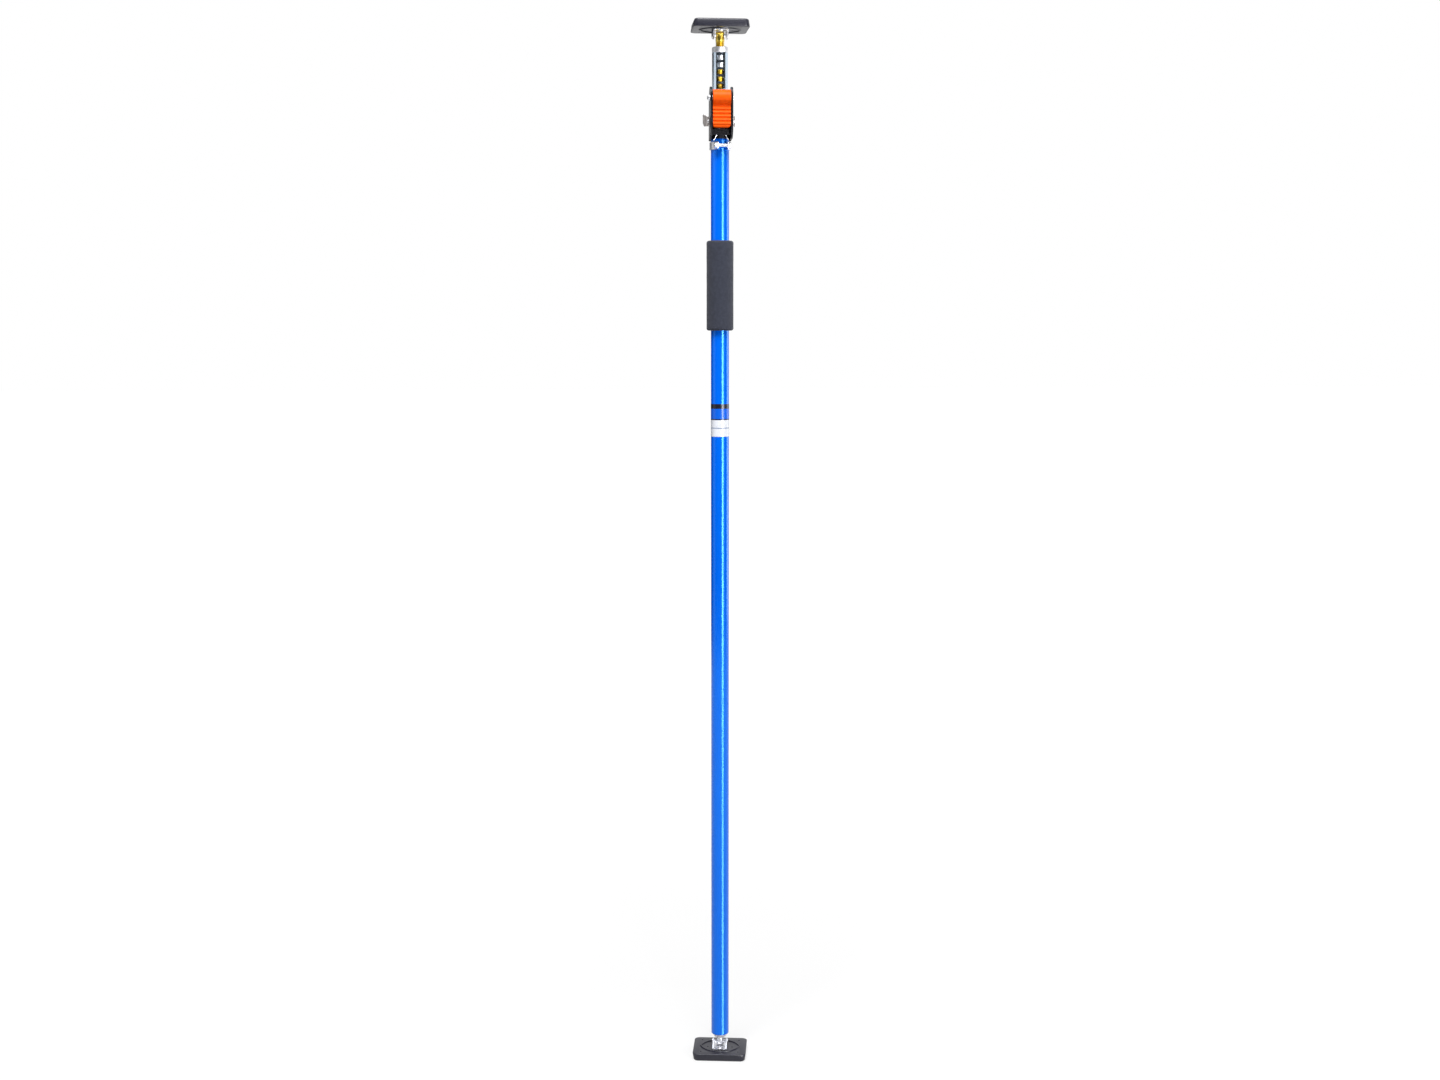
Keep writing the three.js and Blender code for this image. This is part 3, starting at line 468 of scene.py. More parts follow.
# CAD nodes that keep their own shape: edges eased, curved faces smoothed and flats kept level
def smoothing_nodes():
    """Geometry nodes that shade faces smooth and keep edges over the sharp angle crisp."""
    tree = bpy.data.node_groups.new("smooth_by_angle", "GeometryNodeTree")
    tree.interface.new_socket("Geometry", in_out="INPUT", socket_type="NodeSocketGeometry")
    tree.interface.new_socket("Geometry", in_out="OUTPUT", socket_type="NodeSocketGeometry")
    source = tree.nodes.new("NodeGroupInput")
    result = tree.nodes.new("NodeGroupOutput")
    faces = tree.nodes.new("GeometryNodeSetShadeSmooth")
    faces.domain = "FACE"
    edges = tree.nodes.new("GeometryNodeSetShadeSmooth")
    edges.domain = "EDGE"
    edges.inputs["Shade Smooth"].default_value = False
    edge_angle = tree.nodes.new("GeometryNodeInputMeshEdgeAngle")
    compare = tree.nodes.new("FunctionNodeCompare")
    compare.operation = "GREATER_THAN"
    compare.inputs[1].default_value = SHARP_ANGLE
    tree.links.new(edge_angle.outputs["Unsigned Angle"], compare.inputs[0])
    tree.links.new(source.outputs[0], faces.inputs["Geometry"])
    tree.links.new(faces.outputs[0], edges.inputs["Geometry"])
    tree.links.new(compare.outputs["Result"], edges.inputs["Selection"])
    tree.links.new(edges.outputs[0], result.inputs[0])
    return tree


SMOOTHING = smoothing_nodes()
FOLD_EDGE = 0.4 * MM
SHEET_EDGE = 0.3 * MM
GUIDE_EDGE = 0.25 * MM


def dress(node, material, edge):
    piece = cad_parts[node]
    piece.data.materials.clear()
    piece.data.materials.append(material)
    weld = piece.modifiers.new("merged seams", "WELD")
    weld.merge_threshold = WIDE_SEAM
    eased(piece, edge)
    smooth = piece.modifiers.new("smooth faces", "NODES")
    smooth.node_group = SMOOTHING
    level = piece.modifiers.new("level flats", "WEIGHTED_NORMAL")
    level.keep_sharp = True


dress("mechanism_housing", BLACK_PAINT, FOLD_EDGE)
dress("guide_bush", BLACK_PLASTIC, SHEET_EDGE)
dress("tube_guide", BLACK_PLASTIC, GUIDE_EDGE)
for node in ("top_yoke", "foot_yoke", "clamp_band"):
    dress(node, ZINC[1], SHEET_EDGE)
for node in ("handle_lever", "drive_pawl", "holding_pawl", "wing_left", "wing_right"):
    dress(node, PRESSED_STEEL, SHEET_EDGE)


# Outer tube with eased rims
TUBE_RIM = 0.35 * MM
RIM_GUARD = 2 * MM


def make_outer_tube():
    bore = TUBE_RADIUS - TUBE_WALL
    low, high = TUBE_LOW.z, TUBE_HIGH.z
    # The guard rings keep the rims' rounding out of the long walls' shading
    guards = [(TUBE_RADIUS, low + RIM_GUARD), (TUBE_RADIUS, high - RIM_GUARD)]
    inner_guards = [(bore, high - RIM_GUARD), (bore, low + RIM_GUARD)]
    corners = corner_arcs((bore, low), (TUBE_RADIUS, high), TUBE_RIM, steps=3)
    profile = corners[0] + guards + corners[1] + corners[2] + inner_guards + corners[3]
    build("painted_tube", turned(profile, TUBE_SIDES), "pole", BLUE, ["outer_tube"])


# Inner tube: a flattened round section, with a window in each cell of the flat but the end ones
SECTION_STEPS = 48
WINDOW_PITCH = 9.5 * MM
WINDOW_WIDTH = 10 * MM
WINDOW_HEIGHT = 6 * MM
WINDOW_CORNER = 1.2 * MM
FIRST_WINDOW = INNER_HIGH.z - 6.7 * MM
WINDOW_TAIL = 115 * MM
WINDOW_COUNT = int((FIRST_WINDOW - WINDOW_TAIL - INNER_LOW.z) / WINDOW_PITCH) + 1


def section_points(radius, flat):
    """Points from the flat's right edge round the back to its left edge."""
    half = acos(-flat / radius)
    return arc(0, 0, radius, half - pi / 2, 3 * pi / 2 - half, SECTION_STEPS)


def window_faces(corners, loop):
    """Faces between the corners of a cell and the loop of its window."""
    faces = []
    count = len(loop) // 4
    for side in range(4):
        near, far = corners[side], corners[(side + 1) % 4]
        run = loop[side * count:(side + 1) * count]
        faces += [(near, a, b) for a, b in zip(run, run[1:])]
        faces.append((near, run[-1], loop[(side + 1) * count % len(loop)], far))
    return faces


def tube_skin(radius, flat):
    """One skin of the tube, with the loops along which it meets the other skin."""
    outline = section_points(radius, flat)
    levels = [FIRST_WINDOW + (0.5 - i) * WINDOW_PITCH for i in range(WINDOW_COUNT + 1)]
    levels = [INNER_HIGH.z, *levels, INNER_LOW.z]
    rows = numbered_rows(len(levels), len(outline))
    verts = [(x, y, z) for z in levels for x, y in outline]
    faces = []
    loops = [rows[0], rows[-1]]
    for cell, (upper, lower) in enumerate(zip(rows, rows[1:])):
        faces += [(upper[i], upper[i + 1], lower[i + 1], lower[i]) for i in range(SECTION_STEPS)]
        corners = (lower[0], upper[0], upper[-1], lower[-1])
        if cell in (0, WINDOW_COUNT + 1):
            faces.append(corners)
            continue
        z = FIRST_WINDOW - (cell - 1) * WINDOW_PITCH
        x, half = WINDOW_WIDTH / 2, WINDOW_HEIGHT / 2
        window = rounded_rectangle((-x, z - half), (x, z + half), WINDOW_CORNER, steps=3)
        loop = range(len(verts), len(verts) + len(window))
        verts += [(x, flat, z) for x, z in window]
        faces += window_faces(corners, loop)
        loops.append(loop)
    return (verts, faces), loops


def make_inner_tube():
    outer, loops = tube_skin(INNER_RADIUS, FLAT_Y)
    inner, _ = tube_skin(INNER_RADIUS - INNER_WALL, FLAT_Y + INNER_WALL)
    verts, faces = merge(outer, inner)
    shift = len(outer[0])
    for loop in loops:
        faces += bridge(loop, [i + shift for i in loop])
    build("rack_tube", (verts, faces), "inner_pole", ZINC_TUBE, ["inner_tube"])


# Foam grip: a tight sleeve with rolled ends, a faint waist and fainter ripples
GRIP_ROLL = 3.2 * MM
GRIP_CHAMFER = 0.8 * MM
GRIP_WAIST = 0.12 * MM
GRIP_RIPPLE = 0.05 * MM
GRIP_RIPPLES = 9
GRIP_STEPS = 24


def make_grip():
    radius = (GRIP_HIGH.x - GRIP_LOW.x) / 2
    bore = TUBE_RADIUS + FIT
    low, high = GRIP_LOW.z, GRIP_HIGH.z
    profile = [(bore, low + GRIP_CHAMFER), (bore + GRIP_CHAMFER, low)]
    profile += arc(radius - GRIP_ROLL, low + GRIP_ROLL, GRIP_ROLL, -pi / 2, 0, steps=8)
    for i in range(1, GRIP_STEPS):
        share = i / GRIP_STEPS
        dip = GRIP_WAIST * sin(pi * share) + GRIP_RIPPLE * sin(GRIP_RIPPLES * pi * share)
        profile.append((radius - dip, low + GRIP_ROLL + (high - low - 2 * GRIP_ROLL) * share))
    profile += arc(radius - GRIP_ROLL, high - GRIP_ROLL, GRIP_ROLL, 0, pi / 2, steps=8)
    profile += [(bore + GRIP_CHAMFER, high), (bore, high - GRIP_CHAMFER)]
    grip = build("foam_sleeve", turned(profile, TUBE_SIDES), "pole", FOAM, ["foam_grip"])


# Threads and flats
def clamped(value):
    return min(1, max(0, value))


def crests(turns, sides):
    """A wave from 0 to 1 and back, once round the axis, turned along a thread by some turns."""
    return [abs(2 * ((turns - i / sides) % 1) - 1) for i in range(sides)]


def flattened(radius, sides, limit):
    """Points of a circle that is cut flat front and back at a limit."""
    return [(x, max(-limit, min(limit, y))) for x, y in ring([radius] * sides)]


# Adjusting screw: a rolled thread with a tapered tip, a neck and a flattened eye
THREAD_PITCH = 1.75 * MM
THREAD_DEPTH = 0.95 * MM
THREAD_ROWS = 8
GROOVE_SLOPE = 1.25
CREST_WIDTH = 0.1
RUN_OUT = 0.02
TIP_LENGTH = 1.5 * MM
TIP_TAPER = 0.18
TIP_SHARE = 0.25
SCREW_HEAD = 12 * MM
SCREW_NECK = 0.3 * MM
SCREW_SHOULDER = 9 * MM
SCREW_EYE = 5.2 * MM
EYE_ROOT = 1 * MM
EYE_CREST = 0.6 * MM
EYE_NARROWING = 0.98


def screw_thread(low, length, radius):
    rows = int(length / THREAD_PITCH * THREAD_ROWS)
    levels = []
    for row in range(rows + 1):
        height = length * row / rows
        taper = 1 - TIP_TAPER * (1 - clamped(height / TIP_LENGTH + TIP_SHARE))
        depth = THREAD_DEPTH * clamped((length - height) / THREAD_PITCH + RUN_OUT)
        depths = crests(height / THREAD_PITCH, SMALL_SIDES)
        grooves = [depth * clamped(GROOVE_SLOPE * share - CREST_WIDTH) for share in depths]
        levels.append((low + height, ring([(radius - groove) * taper for groove in grooves])))
    return levels


def screw_eye(pin, radius, steps=8):
    levels = []
    for step in range(steps + 1):
        rise = (SCREW_EYE + EYE_ROOT) * step / steps - EYE_ROOT
        limit = sqrt(max(SCREW_EYE ** 2 - max(0, rise) ** 2, EYE_CREST ** 2))
        points = flattened(radius, SMALL_SIDES, limit)
        levels.append((pin + rise, [(EYE_NARROWING * x, y) for x, y in points]))
    return levels


def make_screw():
    low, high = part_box("adjusting_screw")
    radius = (high.x - low.x) / 2
    thread_top = high.z - SCREW_HEAD
    neck = [(z, ring([radius] * SMALL_SIDES)) for z in (thread_top + SCREW_NECK, high.z - SCREW_SHOULDER)]
    levels = screw_thread(low.z, thread_top - low.z, radius) + neck + screw_eye(high.z - SCREW_EYE, radius)
    build("threaded_screw", stacked(levels), "screw", YELLOW_ZINC, ["adjusting_screw"])


# Pads and the metal that they hold, drawn sole down with the pad's middle on the axis
PAD_WIDTH = 76 * MM
PAD_DEPTH = 60 * MM
PAD_THICK = 11 * MM
PAD_CORNER = 7 * MM
PAD_DRAFT = 1.2 * MM
PAD_ROUND = 2.4 * MM
PAD_LIP = 0.9 * MM
LENS_LENGTH = 29 * MM
LENS_WIDTH = 22 * MM
BEAD_WIDTH = 2.4 * MM
BEAD_HEIGHT = 1.2 * MM
BEAD_CROWN = 0.6 * MM
BEAD_SHARE = 0.85
BEAD_FOOT = 0.1 * MM
BEAD_ROOT = 0.4 * MM
HOLE_RADIUS = 1.1 * MM
HOLE_DEPTH = 4 * MM
HOLES = ((26.5 * MM, 20 * MM), (17.5 * MM, -3 * MM), (26.5 * MM, -20 * MM))
OVERCUT = 1 * MM
SHEET = 2 * MM
RIVET_Y = 13 * MM
RIVET_RADIUS = 2 * MM
RIVET_HEAD_RADIUS = 3.4 * MM
RIVET_HEAD_RIM = 0.2 * MM
RIVET_DOME = 1.3 * MM
RIVET_TAIL_RADIUS = 3.2 * MM
RIVET_TAIL = 1.5 * MM
RIVET_EASE = 0.3 * MM
RECESS_DEPTH = 3 * MM
YOKE_HALF = middle_and_half("top_yoke")[1].x
PIN_Z = middle_and_half("foot_pin")[0].z
PIN_RADIUS = 2.4 * MM
PIN_HEAD_RADIUS = 3.5 * MM
PIN_HEAD = 1.0 * MM
PIN_HEAD_RIM = 0.3 * MM
FOOT_PLACE = Matrix.Rotation(radians(-8.5), 4, "Z")
HEAD_PLACE = Matrix.Translation((0, 0, HEAD_TOP)) @ Matrix.Rotation(pi, 4, "X")


def pad_levels():
    """The pad's body as (height, outline) levels, with a rounded sole and a finer round at the top."""
    levels = [(PAD_ROUND * (1 - cos(a)), PAD_DRAFT + PAD_ROUND * (1 - sin(a))) for a in quarter(5)]
    levels += [(PAD_THICK - PAD_LIP * (1 - sin(a)), PAD_LIP * (1 - cos(a))) for a in quarter(3)]
    outlines = []
    for height, inset in levels:
        x, y = PAD_WIDTH / 2 - inset, PAD_DEPTH / 2 - inset
        outlines.append((height, rounded_rectangle((-x, -y), (x, y), PAD_CORNER - inset / 2, steps=8)))
    return outlines


def lens(inset, steps=20):
    length, width = LENS_LENGTH - inset, LENS_WIDTH - inset
    radius = (length ** 2 + width ** 2) / (2 * width)
    half = asin(length / radius)
    points = arc(0, width - radius, radius, pi / 2 - half, pi / 2 + half, steps)
    return points + arc(0, radius - width, radius, 3 * pi / 2 - half, 3 * pi / 2 + half, steps)


def bead():
    """The raised lens-shaped rib, as rows of outlines that follow its rounded section."""
    half = BEAD_WIDTH / 2
    crown = PAD_THICK + BEAD_HEIGHT - BEAD_CROWN
    angles = [pi * i / 8 for i in range(9)]
    section = [(0, PAD_THICK - BEAD_ROOT), (BEAD_FOOT, PAD_THICK)]
    section += [(half - BEAD_SHARE * half * cos(a), crown + BEAD_CROWN * sin(a)) for a in angles]
    section += [(BEAD_WIDTH - BEAD_FOOT, PAD_THICK), (BEAD_WIDTH, PAD_THICK - BEAD_ROOT)]
    outlines = [[(x, y, height) for x, y in lens(inset)] for inset, height in section]
    rows = numbered_rows(len(outlines), len(outlines[0]))
    faces = [face for here, there in zip(rows, rows[1:] + rows[:1]) for face in bridge(here, there)]
    return [point for outline in outlines for point in outline], faces


def make_pad(end, body, place):
    hole = drill(HOLE_RADIUS, PAD_THICK - HOLE_DEPTH, PAD_THICK + OVERCUT, sides=16)
    bore, recess = RIVET_RADIUS + FIT, RIVET_TAIL_RADIUS + FIT
    seat = turned([
        (0, -OVERCUT), (recess, -OVERCUT), (recess, RECESS_DEPTH), (bore, RECESS_DEPTH),
        (bore, PAD_THICK + OVERCUT), (0, PAD_THICK + OVERCUT)], sides=24)
    spots = [(hole, sign * x, y) for x, y in HOLES for sign in (-1, 1)]
    spots += [(seat, 0, y) for y in (-RIVET_Y, RIVET_Y)]
    cuts = [("DIFFERENCE", moved(Matrix.Translation((x, y, 0)), cutter)) for cutter, x, y in spots]
    shape = merge(carved(stacked(pad_levels()), *cuts), bead())
    build(f"{end}_pad_cover", moved(place, shape), body, RUBBER, [f"{end}_pad"], radians(30))


def make_cross_pin(end, body, place):
    seat = YOKE_HALF + FIT
    half = [(PIN_RADIUS, seat), (PIN_HEAD_RADIUS, seat)]
    half += dome(PIN_HEAD_RADIUS, seat + PIN_HEAD_RIM, PIN_HEAD - PIN_HEAD_RIM)
    shape = moved(place @ Matrix.Translation((0, 0, PIN_Z)) @ ALONG_X, turned(symmetric(half)))
    build(f"{end}_cross_pin", shape, body, ZINC, [f"{end}_pin"])


def make_rivets(end, body, place):
    """Rivets through the pad and the yoke's sheet, with a chamfered tail in a recess of the sole."""
    seat = PAD_THICK + FIT + SHEET + FIT
    tail = RECESS_DEPTH - FIT
    foot = tail - RIVET_TAIL
    profile = [
        (0, foot), (RIVET_TAIL_RADIUS - RIVET_EASE, foot), (RIVET_TAIL_RADIUS, foot + RIVET_EASE),
        (RIVET_TAIL_RADIUS, tail), (RIVET_RADIUS, tail), (RIVET_RADIUS, seat), (RIVET_HEAD_RADIUS, seat),
    ]
    profile += dome(RIVET_HEAD_RADIUS, seat + RIVET_HEAD_RIM, RIVET_DOME)
    for side, y in (("front", -RIVET_Y), ("back", RIVET_Y)):
        rivet = moved(place @ Matrix.Translation((0, y, 0)), turned(profile))
        build(f"{end}_domed_rivet_{side}", rivet, body, ZINC, [f"{end}_rivet_{side}"])


# Bottom plug: a tapered foot with a rounded rim under the tube's mouth, and a spigot inside it
PLUG_SIDES = 64
PLUG_BORE = 5.3 * MM
PLUG_TIP = 7.6 * MM
PLUG_NECK = 10.1 * MM
PLUG_RIM = 10.4 * MM
RIM_ROUND = 0.5 * MM
RIM_DROP = 1.5 * MM
RIM_TURN = 0.6
RIM_NECK = 0.4 * MM
PLUG_EASE = 0.3 * MM
TIP_EASE = 0.4 * MM
SPIGOT_EASE = 1 * MM


def make_plug():
    spigot = TUBE_RADIUS - TUBE_WALL - FIT
    low, mouth, high = PLUG_LOW.z, TUBE_LOW.z, PLUG_HIGH.z
    rim = mouth - RIM_DROP
    profile = [(PLUG_BORE, low + PLUG_EASE), (PLUG_BORE + PLUG_EASE, low), (PLUG_TIP - TIP_EASE, low)]
    profile += [(PLUG_TIP, low + PLUG_EASE), (PLUG_NECK, rim - RIM_NECK)]
    profile += arc(PLUG_RIM - RIM_ROUND, rim, RIM_ROUND, -RIM_TURN, RIM_TURN, steps=4)
    profile += [(spigot, mouth), (spigot, high - SPIGOT_EASE), (spigot - SPIGOT_EASE, high)]
    profile.append((PLUG_BORE, high))
    build("tapered_plug", turned(profile, PLUG_SIDES), "pole", WHITE, ["bottom_plug"])


# Foot stud: a round shank up from an eye with flats front and back, and a head on the plug
STUD_RADIUS = 5 * MM
STUD_EYE = 4.9 * MM
STUD_CREST = 0.3 * MM
STUD_HEAD_RADIUS = 7.5 * MM
STUD_HEAD = 4 * MM
STUD_EASE = 0.4 * MM
STUD_CUT = 8 * MM


def make_stud():
    seat = PLUG_HIGH.z + FIT - PIN_Z
    top = seat + STUD_HEAD
    eye = [(-STUD_EYE * cos(a), STUD_RADIUS, max(STUD_CREST, STUD_EYE * sin(a))) for a in quarter(10)]
    eye.append((1.3 * STUD_EYE, STUD_RADIUS, STUD_EYE))
    shank = [(2 * STUD_EYE, STUD_RADIUS), (seat, STUD_RADIUS), (seat, STUD_HEAD_RADIUS),
             (top - STUD_EASE, STUD_HEAD_RADIUS), (top, STUD_HEAD_RADIUS - STUD_EASE)]
    rows = eye + [(height, radius, radius) for height, radius in shank]
    shape = stacked([(height, flattened(radius, PIN_SIDES, limit)) for height, radius, limit in rows])
    hole = moved(ALONG_X, drill(PIN_RADIUS + FIT, -STUD_CUT, STUD_CUT))
    place = FOOT_PLACE @ Matrix.Translation((0, 0, PIN_Z))
    stud = carved(moved(place, shape), ("DIFFERENCE", moved(place, hole)))
    build("eye_stud", stud, "stud", ZINC, ["foot_stud"])


# Adjusting nut: a knurled collar over a sleeve
COLLAR_HEIGHT = 7.4 * MM
COLLAR_BORE_EASE = 0.5 * MM
COLLAR_SLEEVE = 7.5 * MM
KNURLS = 60
KNURL_SIDES = 4
KNURL_DEPTH = 0.25 * MM

# The collar's rim: how far each point lies in from the side and the end, and its share of the knurl
COLLAR_RIM = [(0.8 * MM, 0, 0), (0.1 * MM, 0.7 * MM, 0.3), (0, 1.1 * MM, 1)]


def make_nut():
    low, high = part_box("adjusting_nut")
    radius = (high.x - low.x) / 2
    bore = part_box("adjusting_screw")[1].x + FIT
    foot, top = high.z - COLLAR_HEIGHT, high.z
    profile = [(bore, low.z, 0), (COLLAR_SLEEVE, low.z, 0), (COLLAR_SLEEVE, foot, 0)]
    profile += [(radius - inset, foot + rise, share) for inset, rise, share in COLLAR_RIM]
    profile += [(radius - inset, top - rise, share) for inset, rise, share in reversed(COLLAR_RIM)]
    profile += [(bore + COLLAR_BORE_EASE, top, 0), (bore, top - COLLAR_BORE_EASE, 0)]

    def knurled(angle):
        groove = KNURL_DEPTH * (0.5 - 0.5 * cos(KNURLS * angle))
        return [(reach - groove * share, height) for reach, height, share in profile]

    build("knurled_nut", revolve(knurled, KNURLS * KNURL_SIDES), "nut", ZINC, ["adjusting_nut"])


# Handle grip: a ribbed blade under a round knuckle, drawn from the pivot
PIVOT = middle_and_half("handle_pivot_pin")[0] * Vector((0, 1, 1))
PIVOT_RADIUS = 3 * MM
HANDLE_HALF = 11.9 * MM
KNUCKLE = 11 * MM
BLADE_FRONT = 5 * MM
BLADE_REAR = 3.5 * MM
BLADE_LENGTH = 39.4 * MM
BLADE_FOOT = 2.5 * MM
BLADE_CORNER = 4 * MM
BLADE_EDGE = 0.5 * MM
RIBS = 5
FIRST_RIB = 5 * MM
RIB_PITCH = 4.9 * MM
RIB_HALF = 1.7 * MM
RIB_HEIGHT = 1.1 * MM
LEVER_HALF = 7 * MM
LEVER_EYE = 7.7 * MM
LEVER_FRONT = 2 * MM
LEVER_FOOT = 4.7 * MM


def curve_points(a, b, c, steps=8):
    """Points from a along a quadratic curve to c with its handle at b."""
    points = []
    for i in range(steps + 1):
        t = i / steps
        points.append(tuple((1 - t) ** 2 * p + 2 * t * (1 - t) * q + t * t * r for p, q, r in zip(a, b, c)))
    return points


def grip_outline():
    front, rear, foot, curl = -BLADE_FRONT, BLADE_REAR, -BLADE_LENGTH, BLADE_FOOT
    neck, heel = acos(BLADE_FRONT / KNUCKLE), acos(BLADE_REAR / KNUCKLE)
    points = arc(0, 0, KNUCKLE, -heel, pi + neck, steps=48)
    for rib in reversed(range(RIBS)):
        middle = foot + FIRST_RIB + rib * RIB_PITCH
        top, bottom = (front, middle + RIB_HALF), (front, middle - RIB_HALF)
        points += curve_points(top, (front - 2 * RIB_HEIGHT, middle), bottom)
    points += curve_points((front, foot + curl), (front, foot), (front + curl, foot))
    return points + curve_points((rear - curl, foot), (rear, foot), (rear, foot + curl))


def make_handle_grip():
    far = KNUCKLE + 4 * MM
    foot = BLADE_CORNER - BLADE_LENGTH
    front = [(-HANDLE_HALF, far)]
    front += arc(BLADE_CORNER - HANDLE_HALF, foot, BLADE_CORNER, pi, 3 * pi / 2, steps=8)
    front += arc(HANDLE_HALF - BLADE_CORNER, foot, BLADE_CORNER, -pi / 2, 0, steps=8)
    front.append((HANDLE_HALF, far))
    slot = LEVER_HALF + FIT
    shape = carved(
        slab(grip_outline(), -HANDLE_HALF, HANDLE_HALF, SIDE),
        ("INTERSECT", slab(front, -far, far, FRONT)),
        ("DIFFERENCE", moved(ALONG_X, drill(LEVER_EYE, -slot, slot, PIN_SIDES))),
        ("DIFFERENCE", block((-slot, 0, -far), (slot, far, far))),
        ("DIFFERENCE", block((-slot, -LEVER_FRONT, LEVER_FOOT - BLADE_LENGTH), (slot, far, -far / 2))),
        ("DIFFERENCE", block((-slot, -LEVER_FRONT, -far), (slot, far, 0))),
        ("DIFFERENCE", moved(ALONG_X, drill(PIVOT_RADIUS + FIT, -2 * HANDLE_HALF, 2 * HANDLE_HALF))),
    )
    shape = moved(Matrix.Translation(PIVOT), shape)
    grip = build("ribbed_grip", shape, "handle", ORANGE, ["handle_grip"], BEVEL_ANGLE)
    eased(grip, BLADE_EDGE, segments=3)


# Pins and washers
SHAFT_RADIUS = 2.5 * MM
SHAFT_EASE = 0.4 * MM
PAWL_PIN_RADIUS = 1.5 * MM
PAWL_PIN_EASE = 0.2 * MM
WASHER_EASE = 0.12 * MM
PIVOT_SHOULDER = 4 * MM
PIVOT_HEAD_RADIUS = 4.2 * MM
PIVOT_HEAD_RIM = 0.5 * MM
PIVOT_DOME = 3.5 * MM
PIVOT_TAIL_RADIUS = 3.9 * MM
PIVOT_END_RADIUS = 2.6 * MM
PIVOT_TAIL = 1.3 * MM
PIVOT_EASE = 0.7 * MM


def along_x(place, shape):
    return moved(Matrix.Translation(place) @ ALONG_X, shape)


def make_pivot_pin():
    seat = CHEEK_FACE + FIT
    end = -seat - PIVOT_TAIL
    profile = [
        (0, end), (PIVOT_END_RADIUS, end), (PIVOT_TAIL_RADIUS, end + PIVOT_EASE), (PIVOT_TAIL_RADIUS, -seat),
        (PIVOT_RADIUS, -seat), (PIVOT_RADIUS, seat), (PIVOT_SHOULDER, seat),
    ]
    profile += dome(PIVOT_HEAD_RADIUS, seat + PIVOT_HEAD_RIM, PIVOT_DOME, steps=8)
    shape = along_x(PIVOT, turned(flipped(profile), PIN_SIDES))
    build("domed_pivot_pin", shape, "pole", ZINC, ["handle_pivot_pin"])


def make_plain_pin(name, node, body, radius, ease, inner):
    middle, half = middle_and_half(node)
    profile = symmetric([(radius, half.x - ease), (inner, half.x), (0, half.x)])
    build(name, along_x(middle, turned(profile)), body, ZINC, [node])


def make_washers(label, bore):
    for side in ("left", "right"):
        node = f"{label}_washer_{side}"
        middle, half = middle_and_half(node)
        profile = symmetric([(half.z, half.x - WASHER_EASE), (half.z - WASHER_EASE, half.x), (bore, half.x)])
        build(f"{label}_shim_{side}", along_x(middle, turned(profile)), "pole", ZINC, [node])


# Clamp bolt and nut, through the ears of the band
BOLT_SIDES = 96
BAND_TURN = Matrix.Rotation(radians(7), 4, "Z")
BOLT_Y = -17 * MM
EAR_INSIDE = 6.5 * MM
EAR_SHEET = 1.5 * MM
BOLT_SEAT = EAR_INSIDE + EAR_SHEET + FIT
BOLT_RADIUS = 2.5 * MM
BOLT_PITCH = 0.8 * MM
BOLT_DEPTH = 0.35 * MM
BOLT_ROWS = 140
BOLT_ROOT_RADIUS = 2.4 * MM
BOLT_ROOT = 0.4 * MM
BOLT_PLAIN = 2 * MM
THREAD_START = 1 * MM
THREAD_END = 0.4 * MM
BOLT_TAPER = 0.5 * MM
TAPER_LENGTH = 0.6 * MM
BOLT_HEAD = 3.4 * MM
HEX_RADIUS = 4.4 * MM
HEX_EASE = 0.5 * MM
NUT_HEIGHT = 2.7 * MM
BOLT_TAIL = 0.8 * MM
BOLT_END = BOLT_SEAT + FIT + NUT_HEIGHT + BOLT_TAIL


def hexagon(low, high, top_cap=HEX_RADIUS):
    """A hexagon on the axis whose corners are turned back below, and above to a cap."""
    apothem = HEX_RADIUS * cos(pi / 6)
    sides = [apothem / cos((2 * pi * i / BOLT_SIDES) % (pi / 3) - pi / 6) for i in range(BOLT_SIDES)]
    ends = ((low, apothem), (low + HEX_EASE, HEX_RADIUS), (high - HEX_EASE, HEX_RADIUS), (high, top_cap))
    return stacked([(height, ring([min(side, cap) for side in sides])) for height, cap in ends])


def bolt_thread():
    length = BOLT_SEAT + BOLT_END
    levels = [(-BOLT_SEAT - BOLT_ROOT, ring([BOLT_ROOT_RADIUS] * BOLT_SIDES))]
    for row in range(BOLT_ROWS + 1):
        rise = length * row / BOLT_ROWS
        height, left = rise - BOLT_SEAT, length - rise
        radius = BOLT_RADIUS - BOLT_TAPER * clamped(1 - left / TAPER_LENGTH)
        depth = BOLT_DEPTH * clamped((rise - BOLT_PLAIN) / THREAD_START) * clamped(left / THREAD_END)
        shares = crests(height / BOLT_PITCH, BOLT_SIDES)
        levels.append((height, ring([radius - depth * (1 - share) for share in shares])))
    return stacked(levels)


def make_clamp_bolt():
    height = middle_and_half("clamp_band")[0].z
    place = BAND_TURN @ Matrix.Translation((0, BOLT_Y, height)) @ ALONG_X
    bolt = merge(hexagon(-BOLT_SEAT - BOLT_HEAD, -BOLT_SEAT), bolt_thread())
    build("threaded_clamp_bolt", moved(place, bolt), "pole", ZINC, ["clamp_bolt"])
    blank = hexagon(BOLT_SEAT, BOLT_SEAT + NUT_HEIGHT, HEX_RADIUS * cos(pi / 6))
    nut = carved(blank, ("DIFFERENCE", drill(BOLT_RADIUS + FIT, BOLT_SEAT - MM, BOLT_SEAT + 5 * MM)))
    build("chamfered_clamp_nut", moved(place, nut), "pole", ZINC, ["clamp_nut"])


# Latch spring: a bent wire, the same on both sides
WIRE_RADIUS = 0.75 * MM


